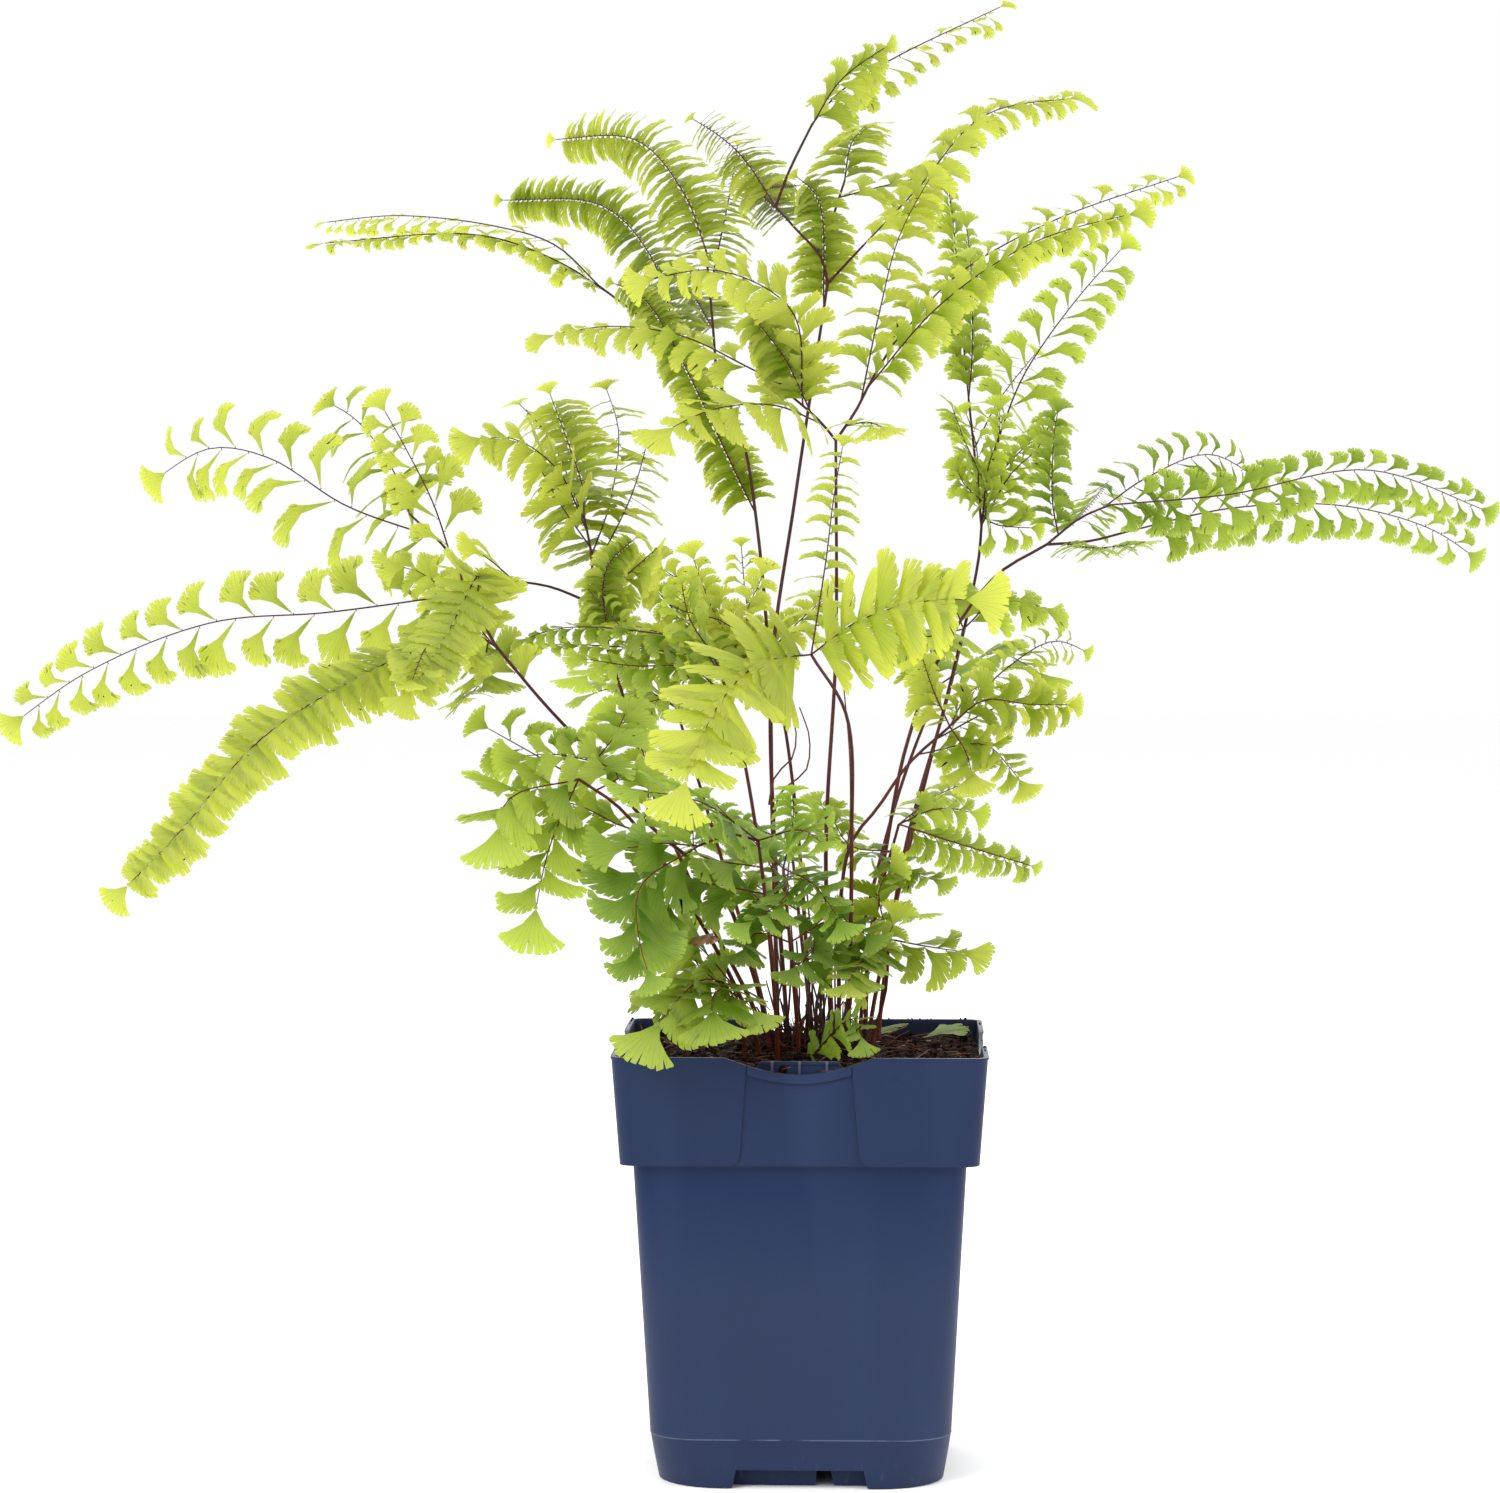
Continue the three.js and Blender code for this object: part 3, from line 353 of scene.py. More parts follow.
def dip(x):
    """How far the scooped edge lies below the rim."""
    return SCOOP_DEPTH * max(0.0, 1 - (x / SCOOP_HALF) ** 2) ** 1.2


corner_round = [(17.4 + 3.5 * (1 - math.cos(a)), LEDGE + 3.5 * (1 - math.sin(a)))
    for a in (0, 0.4, 0.8, 1.2, math.pi / 2)]
right_edge = [(15, RIM_TOP + 2), *corner_round, (20.9, LEDGE - 2)]
recess = right_edge[::-1] + [(-x, z) for x, z in right_edge]
scoop_line = [(x, RIM_TOP - dip(x)) for x in np.linspace(-SCOOP_HALF, SCOOP_HALF, 33)]
scoop = [*scoop_line, (SCOOP_HALF, RIM_TOP + 3), (-SCOOP_HALF, RIM_TOP + 3)]
notch = [(-20.1, -1), (20.1, -1), (18.8, 5.4), (-18.8, 5.4)]

cut(pot, *loft(squares((-1, 41.3, 18.8), (4.8, 41.9, 18.2))))

# The other cutters start clear of the wall, in front of it, and end at their second depth.
CLEAR = -60
cut(pot, *prism(recess, CLEAR, -54.3, COLLAR_LEAN))
for side in (-1, 1):
    edge = [(side * x, z) for x, z in right_edge[:-1]]
    groove = edge + [(x - side * 0.65, z) for x, z in edge[::-1]]
    cut(pot, *prism(groove if side > 0 else groove[::-1], CLEAR, -53.8, COLLAR_LEAN))
cut(pot, *prism(scoop, CLEAR, -50, COLLAR_LEAN))
cut(pot, *prism(notch, CLEAR, -38))
print("pot wall after cutting has", len(pot.data.polygons), "faces")

# %% [markdown]
# Under the scoop a thick bead stiffens the edge, and behind the front one a small plate with
# three ribs makes the pocket for a plant label. A second ring with a slot in each side stands
# inside the foot, with a round pad in its middle. These are small solids of their own, joined to
# the wall as one object. Four drain holes are cut through the floor round the pad.

# %% Beads, label pocket and inner foot ring
bead_x = np.linspace(-15.2, 15.2, 23)
bead = [(x, RIM_TOP - 0.08 - dip(x)) for x in bead_x[::-1]]
bead = [(x, RIM_TOP - 2.7 - dip(x)) for x in bead_x] + bead
trims = [prism(bead, -55.15, -54.0, COLLAR_LEAN)]

PLATE_FOOT, PLATE_TOP = 108, RIM_TOP - 1.6


def oblong(left, right, low, high):
    return [(left, low), (right, low), (right, high), (left, high)]


plate = [(-13, PLATE_FOOT), (13, PLATE_FOOT), (13, PLATE_TOP - 2.2), (11, PLATE_TOP), (-11, PLATE_TOP),
    (-13, PLATE_TOP - 2.2)]
lip = [(-11.6, PLATE_TOP - 1), (11.6, PLATE_TOP - 1), (11, PLATE_TOP), (-11, PLATE_TOP)]
pocket = [(plate, -49.2, -48.4), (lip, -49.6, -49.1)]
for x in (-8, 0, 8):
    pocket.append((oblong(x - 0.35, x + 0.35, PLATE_FOOT, PLATE_TOP - 0.6), -49.9, -49.1))
for left in (-13, 12):
    pocket.append((oblong(left, left + 1, PLATE_FOOT, PLATE_TOP - 6), -51.8, -48.6))
trims.extend(prism(*piece, turns=(0,)) for piece in pocket)

ring = new_object("foot_ring", *loft(squares((0, 37.5, 15), (5.2, 37.5, 15))))
cut(ring, *loft(squares((-1, 36.3, 13.8), (6, 36.3, 13.8))))
slot = [(4.4, -1), (10.2, -1), (8.7, 6), (5.1, 6)]
cut(ring, *prism(slot, -42, -30))
step_back = [(-30, -1), (-9.5, -1), (-9.3, 6), (-30, 6)]
cut(ring, *prism(step_back, -42, -37.1))


def disc(radius, height, x=0, y=0, steps=32):
    turns = np.linspace(0, 2 * math.pi, steps + 1)[:-1]
    return [(x + radius * math.cos(a), y + radius * math.sin(a), height) for a in turns]


PAD_RADIUS, DRAIN_RADIUS = 8, 3.5
trims.append(loft([disc(PAD_RADIUS, height) for height in (0, 5)]))
for x, y in ((24, 0), (0, 24), (-24, 0), (0, -24)):
    cut(pot, *loft([disc(DRAIN_RADIUS, height, x, y, 20) for height in (3, 8)]))
print("small solids on the pot:", len(trims) + 1)

# %% [markdown]
# Moulded plastic never has a knife edge. A Bevel modifier rounds every sharp edge by a quarter of
# a millimetre, and that thin round catches the light along the rim and the panels. Faces that meet
# at more than 50 degrees stay crisp.

# %% Join, round and place the pot
def grow(corners, faces, more_corners, more_faces):
    """Puts more corners and faces behind those of a mesh in the making."""
    start = len(corners)
    corners.extend(more_corners)
    faces.extend([start + k for k in face] for face in more_faces)


def shape_of(thing):
    return [c.co.copy() for c in thing.data.vertices], [tuple(f.vertices) for f in thing.data.polygons]


pot_corners, pot_faces = shape_of(pot)
for trim in [shape_of(ring), *trims]:
    grow(pot_corners, pot_faces, *trim)
bpy.data.objects.remove(ring)
bpy.data.objects.remove(pot)
pot = new_object("pot_shell", pot_corners, pot_faces)
soft_edge = pot.modifiers.new("soft_edge", "BEVEL")
soft_edge.width = 0.25 * MM
soft_edge.segments = 2
soft_edge.angle_limit = math.radians(35)
settle(pot)


def dress(thing, finish, slot, *nodes):
    """Smooths a piece, gives it its finish and ties it to the measured model."""
    thing.data.shade_smooth()
    thing.data.set_sharp_from_angle(angle=math.radians(50))
    thing.data.materials.clear()
    thing.data.materials.append(finish)
    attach(thing, "root")
    if nodes:
        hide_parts(*nodes)
    faces = sum(len(face.vertices) - 2 for face in thing.data.polygons)
    print(thing.name, "has", faces, "triangles")
    return thing


# %% [markdown]
# ### Blue plastic
#
# The plastic is a satin, dark blue polypropylene. It shows a fine grain from the mould, slow waves
# in the thin wall, pale streaks, a broken line where two parts of the mould met, dull scuffs at
# the foot and brown dust near the rim. Painted shade darkens the inner wall and the body just
# under the collar, and the ribs of the label pocket are paler. Each of these is a mask, worked out
# from the place in mm, and one loop lays its tone over the last. Grain and waves are bump.

# %% Blue plastic
blue = Finish("blue_plastic")
across, depth, height = (blue.part(blue.place(), axis) / MM for axis in "XYZ")
cloud = blue.noise(18, 3)
on_collar = height.between(LEDGE - 1, LEDGE)
# Painted shade: the body turns darker blue towards the collar that overhangs it.
painted_shade_under_collar = height.between(58, 90) * (1 - on_collar)
streaks = blue.noise(30, 2, 0.6, blue.stretched((1, 1, 0.06))).between(0.48, 0.7)
seam = (1 - (height - SEAM).size() / 0.22).between(0, 0.6) * blue.noise(120, 3, 0.6).between(0.35, 0.5)
scuff = blue.noise(240, 4, 0.75, blue.stretched((1, 1, 0.25))).between(0.58, 0.7)
scuff = scuff * height.between(12, 0)
dust = blue.noise(420, 4, 0.7).between(0.6, 0.72) * height.between(118, 129)
pocket_ribs = (across * (math.pi / 8)).wave().size().between(0.2, 0.08) * height.between(119, 121)
pocket_ribs = pocket_ribs * depth.between(-50.5, -49.5) * depth.between(-47.5, -48.5)
pocket_ribs = pocket_ribs * across.size().between(10.5, 9.5)
# Painted shade: the inner wall of the pot, except at the front, is nearly black blue.
inner_half = 51.55 + (height - LEDGE - 1.2) * 0.078
painted_shade_inside = (inner_half - across.size()).between(0, 0.2) * height.between(128, 127)
painted_shade_inside = painted_shade_inside * (inner_half - depth.size()).between(0, 0.2) * depth.between(-30, -20)
tone = blue.mix(cloud.between(0.3, 0.7), (0.0150, 0.0250, 0.063, 1), (0.0172, 0.0275, 0.070, 1))
for mask, over in (
    (painted_shade_under_collar * 0.9, (0.0056, 0.0162, 0.055, 1)),
    (on_collar, (0.0108, 0.0202, 0.057, 1)),
    (streaks * 0.4, (0.024, 0.038, 0.092, 1)),
    (seam * 0.45, (0.16, 0.19, 0.28, 1)),
    (scuff * 0.4, (0.09, 0.10, 0.14, 1)),
    (dust * 0.75, (0.05, 0.032, 0.02, 1)),
    (pocket_ribs * 0.8, (0.12, 0.14, 0.19, 1)),
    (painted_shade_inside * 0.8, (0.004, 0.007, 0.022, 1)),
):
    tone = blue.mix(mask, tone, over)
waves = blue.bump(blue.noise(38, 2, 0.5, blue.stretched((1, 1, 0.12))), 0.0006, 0.5)
blue_plastic = blue.surface({
    "Base Color": tone,
    "Roughness": 0.38 + cloud * 0.12 + dust * 0.3 + scuff * 0.2,
    "Normal": blue.bump(blue.noise(2600, 2, 0.5), 0.00005, 0.5, waves),
    "IOR": 1.22,
})
dress(pot, blue_plastic, "pot_plastic", "pot")

# %% [markdown]
# ## Smooth lines for stalks and ribs
#
# Every stalk, branch and rib is a smooth line through a few measured points. Blender's own curve
# objects could draw it, but the leaflets also need to know the line's direction at any place, so a
# small class works the line out: centripetal Catmull-Rom, which passes through each point and
# never loops between two of them.

# %% Lines
SOIL_TOP = 120.5


def spot(point):
    """A place in metres from x, y and the height above the soil in mm."""
    x, y, height = point
    return Vector((x, y, SOIL_TOP + height)) * MM


class Line:
    """A smooth line through points, read by the part of its length."""

    def __init__(self, stops, steps=16):
        ends = [2 * stops[0] - stops[1], *stops, 2 * stops[-1] - stops[-2]]
        trail = []
        for before, start, end, after in zip(ends, ends[1:], ends[2:], ends[3:]):
            a, b, c = (math.sqrt((q - p).length) for p, q in
                ((before, start), (start, end), (end, after)))
            leave = ((start - before) / a - (end - before) / (a + b)) * b + (end - start)
            arrive = (end - start) + ((after - end) / c - (after - start) / (b + c)) * b
            for k in range(steps):
                t = k / steps
                trail.append(start * (2 * t**3 - 3 * t**2 + 1) + leave * (t**3 - 2 * t**2 + t)
                    + end * (3 * t**2 - 2 * t**3) + arrive * (t**3 - t**2))
        trail.append(stops[-1])
        self.trail = np.array(trail)
        steps_long = np.linalg.norm(np.diff(self.trail, axis=0), axis=1)
        self.reach = np.concatenate([[0], np.cumsum(steps_long)])
        self.length = self.reach[-1]

    def at(self, part):
        place = part * self.length
        return Vector([np.interp(place, self.reach, self.trail[:, axis]) for axis in range(3)])

    def along(self, part):
        step = 0.5 * MM / self.length
        return (self.at(min(1, part + step)) - self.at(max(0, part - step))).normalized()


line = Line([spot((0, 0, 0)), spot((0, 10, 50)), spot((30, 10, 90))])
print("a test line of three points is", round(line.length / MM), "mm long")

# %% [markdown]
# ## The measured table of fronds
#
# Each frond has a stalk, branches that fork from it, and feather-like pinnae, one to a line. After
# the colon come its places: x, y and the height above the soil, in mm, as in the measured model.
# Before it, a branch names its parent (0 is the stalk) and the part of the way along it. A pinna
# gives its kind, the same two, the length of its leaflets, and the tilt and turn of their upper
# faces: tilt 0 faces the sky and 90 the front, and the turn is 0 where none is given.

# %% Reading one frond
FRONDS = []


def frond(name, slot, green, table):
    row = {"name": name, "slot": slot, "green": green, "branches": [], "pinnae": []}
    for line in table.strip().splitlines():
        head, tail = line.split(":")
        kind, *values = head.split()
        values = [float(value) for value in values]
        stops = [tuple(map(float, stop.split())) for stop in tail.split(",")]
        if kind == "stalk":
            row["stalk"] = stops
        elif kind == "branch":
            row["branches"].append((values, stops))
        else:
            row["pinnae"].append((kind, values, stops))
    FRONDS.append(row)
    print(name, "has", len(row["pinnae"]), "pinnae")

# %% [markdown]
# The tallest fronds stand in the middle. Each stalk forks at its top, and the branches carry
# long feather-like pinnae that spread like the ribs of a fan.

# %% Table of the tall fronds
frond("front_tall", "leaf_young", (165, 200, 74), """
stalk: 9 0 0, 7 -2 65, 10 -6 125, 10 -10 188
branch 0 1: 5 -8 194, -8 -2 205, -14 0 209
branch 0 1: 16 -8 197, 20 -4 205, 27 0 217
fans 1 1 12 32: -37 5 220, -59 10 223, -83 10 219
fans 1 0.2 15 42: -9 -30 198, -26 -45 196, -43 -60 187
slats 1 0.35 11 80: -5 -15 212, -11 -20 220, -17 -24 227
fans 1 0.45 12 60: -3 -25 226, -24 -35 237, -50 -40 233
steps 2 0.4 13 80: 23 0 227, 29 5 250, 40 10 271
wings 2 1 11 55: 46 10 238, 75 20 255, 118 35 271
fans 2 0.55 10 50: 41 -15 228, 69 -25 246, 102 -30 255
fans 2 0.15 11 30: 20 -25 193, 26 -40 190""")
frond("back_tall", "leaf_mid", (134, 174, 60), """
stalk: -5 15 0, -9 20 64, -10 25 119, -3 30 171, 7 30 237
branch 0 1: 5 30 245, -3 32 254, -9 34 261
branch 1 0.35: 7 40 254, 12 50 270
branch 0 1: 13 25 243, 18 20 248
branch 1 1: -5 38 272, 2 44 287
wings 4 1 10 28: 10 50 297, 26 58 308, 64 75 328
steps 4 0.9 11 60: 11 30 299, 27 15 309
fans 2 1 12 40: 14 20 278, 20 -30 281
slats 1 1 11 80: -19 40 276, -27 50 284, -37 60 291
fans 3 1 11 35: 34 25 265, 55 40 289, 88 60 297
fans 2 0.8 12 25: 26 65 270, 48 80 276
slats 1 0.8 9 75: -14 60 268, -2 92 272
slats 0 0.97 11 75: 4 30 263, -4 32 271""")
frond("left_high", "leaf_mid", (146, 188, 70), """
stalk: -8 20 0, -10 28 78, -11 35 118, -15 45 162, -20 50 191, -28 55 209
branch 0 1: -40 55 218, -53 58 229, -65 60 238
branch 0 1: -30 65 231, -32 70 250
wings 1 1 9 25: -79 62 251, -97 65 257, -129 70 261, -156 75 259
fans 1 0.9 8 17: -77 50 245, -101 45 253, -154 40 250
slats 1 0.3 12 80: -50 72 249, -66 80 265, -100 85 267
slats 2 1 13 80: -39 75 268, -55 85 286, -84 95 287
slats 2 0.7 12 80: -25 90 270, -23 110 288
slats 2 0.4 11 75: -40 95 240, -58 120 250
slats 0 0.8 10 70: -49 50 232, -56 52 237, -62 52 239""")

# %% [markdown]
# On the right one frond reaches far out and bends under its own weight, and another stands
# upright and forks near its top. The shorter ones fill the space below them.

# %% Table of the fronds on the right
frond("right_low", "leaf_mid", (108, 156, 50), """
stalk: 19 5 0, 20 6 34, 25 8 64, 31 10 95, 41 14 122, 58 18 147, 74 20 157
branch 0 1: 87 22 158, 99 24 161
branch 0 1: 84 18 165, 93 16 169
wings 1 1 12 75: 130 28 168, 164 32 169, 192 36 162, 208 38 152
wings 2 1 11 75: 128 0 172, 168 -15 179, 203 -30 166
horns 2 0.9 12 75: 106 35 178, 126 50 185, 144 60 176
fans 2 0.2 8 25 40: 76 30 171, 77 40 192, 79 45 202
fans 1 0.2 7 25: 88 -20 156, 101 -60 158
horns 2 0.5 9 45: 90 60 171, 97 100 178""")
frond("right_high", "leaf_mid", (128, 174, 62), """
stalk: 23 25 0, 31 40 62, 45 52 112, 54 60 152, 55 62 163
branch 0 1: 53 66 184, 51 70 203
branch 0 1: 57 58 177, 61 55 193
fans 1 1 9 60 50: 49 75 225, 47 82 251, 44 90 278
horns 2 1 14 80: 68 52 210, 84 50 233, 101 50 252
horns 1 0.6 13 80: 61 90 203, 75 120 221
fans 1 0.2 8 55: 68 80 187, 84 105 197
fans 2 0.4 8 55: 49 30 189, 44 5 201
wings 2 0.1 10 80: 60 50 163, 73 40 162
fans 1 1 8 60 20: 52 70 215, 52 74 240, 50 80 262
horns 0 1 9 75: 54 55 173, 53 50 188, 49 46 200
fans 0 1 7 50: 57 50 182, 60 45 191, 60 40 202
horns 0 1 9 75: 64 55 179, 73 52 188, 78 52 201
fans 0 1 7 60: 56 52 169, 49 45 176, 46 42 183""")
frond("right_front", "leaf_young", (168, 202, 80), """
stalk: 11 -5 0, 14 -12 66, 23 -15 79, 32 -18 92, 44 -20 103
fans 0 1 11 60: 49 -28 95, 51 -35 85
steps 0 1 11 75: 54 -25 111, 67 -30 110, 82 -35 110
horns 0 1 9 75: 61 -10 120, 76 0 128, 87 5 124
steps 0 1 9 60: 39 -30 114, 35 -40 126
horns 0 1 9 20: 50 5 112, 58 25 116
horns 0 0.95 9 70: 59 -15 109, 71 -12 112, 81 -10 109
fans 0 0.9 9 60: 54 -25 98, 61 -32 92, 67 -38 84""")
frond("right_mid", "leaf_mid", (132, 178, 66), """
stalk: 20 15 0, 32 25 63, 45 32 115, 49 35 131
fans 0 1 12 35: 60 40 140, 81 45 135
scales 0 1 15 40: 44 48 143, 40 62 150
scales 0 1 15 25: 38 18 129, 20 10 128""")

# %% [markdown]
# The widest frond is on the left. Its pinnae spread from one fork like fingers, some up and some
# far down.

# %% Table of the fronds on the left
frond("left_low", "leaf_young", (132, 172, 60), """
stalk: -10 -5 0, -16 -8 32, -25 -10 54, -47 -18 75, -60 -22 92, -77 -27 111, -90 -30 127
branch 0 1: -98 -28 141, -104 -25 154, -117 -15 166
branch 0 1: -95 -40 130, -102 -50 129
wings 1 0.35 17 80: -139 -35 137, -173 -40 134, -208 -45 120, -232 -50 103
horns 1 0.75 20 80: -138 -5 169, -161 0 183, -180 5 186, -200 10 175
horns 1 1 18 75: -125 5 181, -137 20 195, -149 30 202
wings 1 0.6 13 75: -108 -35 169, -115 -45 185, -123 -50 200
scales 2 1 13 60: -122 -75 121, -151 -95 102, -172 -105 77, -191 -110 57
wings 2 0.6 12 60: -104 -85 129, -106 -120 118
fans 2 0.2 11 40: -97 -10 115, -107 20 109
scales 2 0.6 13 75: -92 -66 148, -98 -84 134, -104 -96 122, -111 -104 111
fans 0 0.9 12 55: -111 -30 148, -123 -38 151""")
frond("left_mid", "leaf_mid", (160, 198, 72), """
stalk: -12 10 0, -32 12 49, -47 14 84, -56 18 113, -65 20 139
branch 0 1: -77 15 144, -88 10 146
branch 0 1: -65 22 152, -68 30 166
slats 2 1 16 80: -69 38 175, -74 44 189, -81 50 207
steps 2 0.5 15 70: -61 50 171, -60 75 193, -66 95 210
fans 2 0.8 14 50: -75 10 180, -88 0 189, -104 -5 187
steps 2 0.9 14 60: -81 70 190, -95 100 204
fans 1 1 12 40: -94 0 152, -102 -5 158
steps 0 1 9 60: -52 5 149, -42 -15 157
steps 2 0.6 14 75: -75 30 169, -85 45 185
steps 2 0.3 12 75: -54 40 172, -49 60 193
slats 0 0.9 8 75: -59 -2 150, -49 -4 160""")
frond("low_left", "leaf_mid", (126, 176, 58), """
stalk: -13 -15 0, -33 -35 52, -52 -50 80, -64 -55 89
fans 0 1 17 70: -72 -65 69, -77 -72 42
wings 0 1 15 75: -79 -50 97, -96 -45 106
fans 0 1 14 30: -55 -42 100, -50 -25 112
fans 0 1 17 50: -83 -70 84, -86 -85 68
fans 0 0.95 13 60: -52 -50 90, -69 -55 96, -87 -58 95
fans 0 0.8 13 45: -52 -48 75, -66 -56 82, -80 -62 82
fans 0 0.8 12 60: -45 -30 83, -48 -24 98, -60 -20 109""")
frond("mid_left", "leaf_mid", (132, 178, 64), """
stalk: -7 0 0, -13 -5 65, -20 -8 104, -26 -10 123
fans 0 1 9 25: -49 -12 126, -66 -12 127, -80 -12 127
horns 0 1 9 75: -33 -25 135, -35 -40 147
fans 0 0.95 9 30: -31 -10 127, -48 -12 131, -72 -14 132, -87 -16 127
fans 0 0.8 9 40: -30 -15 112, -48 -20 109, -60 -24 101
fans 0 0.9 10 35: -33 -15 120, -51 -20 121, -69 -24 124
horns 0 0.9 9 70: -49 -5 127, -61 0 139, -67 2 146""")

# %% [markdown]
# The youngest frond hangs forward over the front. It is the palest one: its leaflets are the
# thinnest, and its pale green is also painted light. Darker and older fronds stand close to the
# crown behind it, where painted shade darkens the leaflets.

# %% Table of the fronds in the middle
# The pale green of this frond is partly painted light.
frond("front_centre", "leaf_young", (192, 214, 98), """
stalk: 14 -12 0, 15 -35 67, 14 -65 107, 4 -90 126
scales 0 1 20 75: -10 -110 124, -22 -130 111, -32 -145 84
scales 0 1 19 68: 18 -105 136, 34 -115 141, 56 -125 142
steps 0 1 10 80: 8 -75 153, 10 -68 170, 13 -60 188""")
frond("mid_back", "leaf_mid", (162, 200, 76), """
stalk: 2 18 0, -3 30 78, -9 38 112, -14 40 121
fans 0 1 9 70: -31 45 140, -49 50 152
horns 0 1 9 75: -19 60 140, -21 70 159
steps 0 1 9 75: -35 30 128, -50 20 128
fans 0 1 9 60: 0 55 135, 12 65 145
fans 0 0.9 8 70: -26 35 132, -33 38 148, -36 40 157
fans 0 0.9 8 60: -32 30 129, -45 32 142, -51 34 151
fans 0 0.9 8 70: -18 30 135, -14 32 145, -12 34 152
fans 0 0.9 11 40: -32 20 126, -47 15 131, -59 12 134
horns 0 0.95 10 75: -24 20 133, -38 22 137, -47 24 142""")
frond("low_front", "leaf_mid", (100, 152, 42), """
stalk: -7 -22 0, -9 -36 40, -12 -50 71
branch 0 1: -20 -56 73, -29 -60 70
fans 1 1 16 45: -40 -64 71, -49 -68 70, -58 -72 73
steps 1 1 17 80: -45 -80 59, -44 -90 43, -40 -95 32
fans 0 1 15 40: -28 -80 84, -49 -105 89
fans 0 1 9 50: 0 -65 75, 8 -85 72
fans 0 0.8 14 55: -32 -50 58, -43 -62 47, -45 -70 36
fans 0 0.9 13 35: -29 -55 67, -31 -70 77, -39 -80 83""")
frond("centre_low", "leaf_deep", (102, 160, 55), """
stalk: -1 -16 0, -3 -30 37, -5 -38 62
fans 0 1 8 25: -2 -48 76, -2 -62 88
fans 0 1 9 25: -15 -25 70, -31 -10 84
fans 0 1 10 50: 5 -58 58, 14 -72 46
fans 0 1 10 40: -4 -58 55, -18 -70 46
fans 0 0.75 10 35: -20 -18 56, -29 -28 49
fans 0 0.7 10 55: -13 -25 42, -18 -38 35
fans 0 0.7 10 60: 10 -25 46, 23 -38 40
fans 0 0.6 10 35: 4 -30 38, -4 -42 30
fans 0 0.6 10 60: 15 -30 38, 19 -42 27
horns 0 0.9 10 70: -1 -10 72, 9 -18 75
horns 0 0.9 10 70: -17 -10 72, -25 -18 76
fans 0 0.15 8 60: 16 -40 18, 19 -48 9""")

# %% [markdown]
# The lowest fronds stand just above the rim of the pot, and one hangs over it. Three more stand at
# the back, so that the plant isn't bare there.

# %% Table of the low fronds and the back
frond("base_left", "leaf_mid", (116, 166, 50), """
stalk: -17 -20 0, -18 -26 18, -20 -32 27
fans 0 1 18 50: -29 -50 30, -38 -62 22, -46 -70 11
fans 0 1 17 30: -25 -58 26, -24 -74 17
fans 0 1 16 20: -35 -25 28, -50 -22 22
fans 0 1 16 50: -30 -45 40, -42 -56 48
fans 0 0.9 13 55: -30 -35 33, -35 -42 43, -44 -48 48
fans 0 0.9 12 40: -24 -40 28, -14 -55 23, -10 -62 18""")
frond("low_right", "leaf_deep", (126, 172, 60), """
stalk: 17 0 0, 23 -2 50, 29 -5 73
fans 0 1 8 60: 41 -8 78, 55 -10 76
steps 0 1 8 65: 44 -20 69, 70 -35 62
fans 0 1 9 20: 40 18 80, 52 40 84
fans 0 0.9 9 30: 14 5 66, 8 10 75, 2 14 81
fans 0 0.9 9 30: 23 -15 64, 35 -25 59, 44 -30 57""")
frond("base_right", "leaf_deep", (138, 184, 66), """
stalk: 21 -8 0, 25 -10 23, 26 -12 39
fans 0 1 12 35: 38 -15 37, 55 -20 35
fans 0 1 11 60: 23 -20 54, 29 -30 64
fans 0 1 11 30: 18 -40 35, 13 -60 28
fans 0 0.9 10 45: 14 -15 44, 6 -25 53, 0 -30 60
fans 0 0.8 10 50: 17 -20 32, 26 -22 41, 29 -20 50""")
frond("rear_left", "leaf_deep", (112, 160, 54), """
stalk: -11 24 0, -30 55 70, -42 80 105
fans 0 1 15 -20: -60 95 118, -78 118 112
fans 0 1 15 -30: -38 105 122, -40 140 118
fans 0 1 14 10: -55 75 112, -75 72 108""")
frond("rear_right", "leaf_mid", (120, 168, 58), """
stalk: 12 28 0, 28 60 75, 42 88 112
fans 0 1 15 -20: 60 100 122, 80 118 112
fans 0 1 15 -30: 38 115 126, 32 148 118
fans 0 1 14 20: 28 85 122, 12 92 128""")
frond("rear_low", "leaf_deep", (104, 150, 50), """
stalk: 2 27 0, -2 50 40, -5 70 62
fans 0 1 11 -20: -25 88 68, -42 105 55
fans 0 1 11 -30: 8 95 70, 14 125 58
fans 0 1 11 0: -22 66 58, -42 60 45
fans 0 0.6 11 -20: 18 60 38, 40 75 40
fans 0 0.7 11 -10: -20 80 50, -12 110 40""")

# %% [markdown]
# ## Growing a leaflet
#
# A leaflet of this fern is a quarter of a fan on a stalk as thin as a hair. Its lower margin is
# smooth and straight, and the outer one is cut into small square lobes, with a few deeper slits.
# Veins spread from the stalk to the lobes. Each leaflet is a sheet of 72 triangles in three
# bands, finer towards the lobes, and draws its own slits, bend and twist, so no two are copies.

# %% Leaflet sheet
chance = random.Random(46)


class Sheet:
    """Thin faces in the making. Each corner also keeps its place on its fan and its tone."""

    def __init__(self):
        self.corners, self.faces, self.fans, self.tones = [], [], [], []

    def thing(self, name):
        thing = new_object(name, self.corners, self.faces)
        mesh = thing.data
        fan = mesh.uv_layers.new(name="fan")
        corner_of = np.empty(len(mesh.loops), int)
        mesh.loops.foreach_get("vertex_index", corner_of)
        fan.data.foreach_set("uv", np.array(self.fans, np.float32)[corner_of].ravel())
        tone = mesh.attributes.new("tone", "FLOAT", "POINT")
        tone.data.foreach_set("value", np.array(self.tones, np.float32))
        return thing


def outline(swing, narrow):
    """How far the margin of a quarter fan lies from its stalk, with the longest side as 1."""
    bulge = 2.5
    return (np.cos(swing) ** bulge + (np.sin(swing) / narrow) ** bulge) ** (-1 / bulge)


LOBES = 9
LOBE_STEPS = (0, 0.13, 0.5, 0.87)


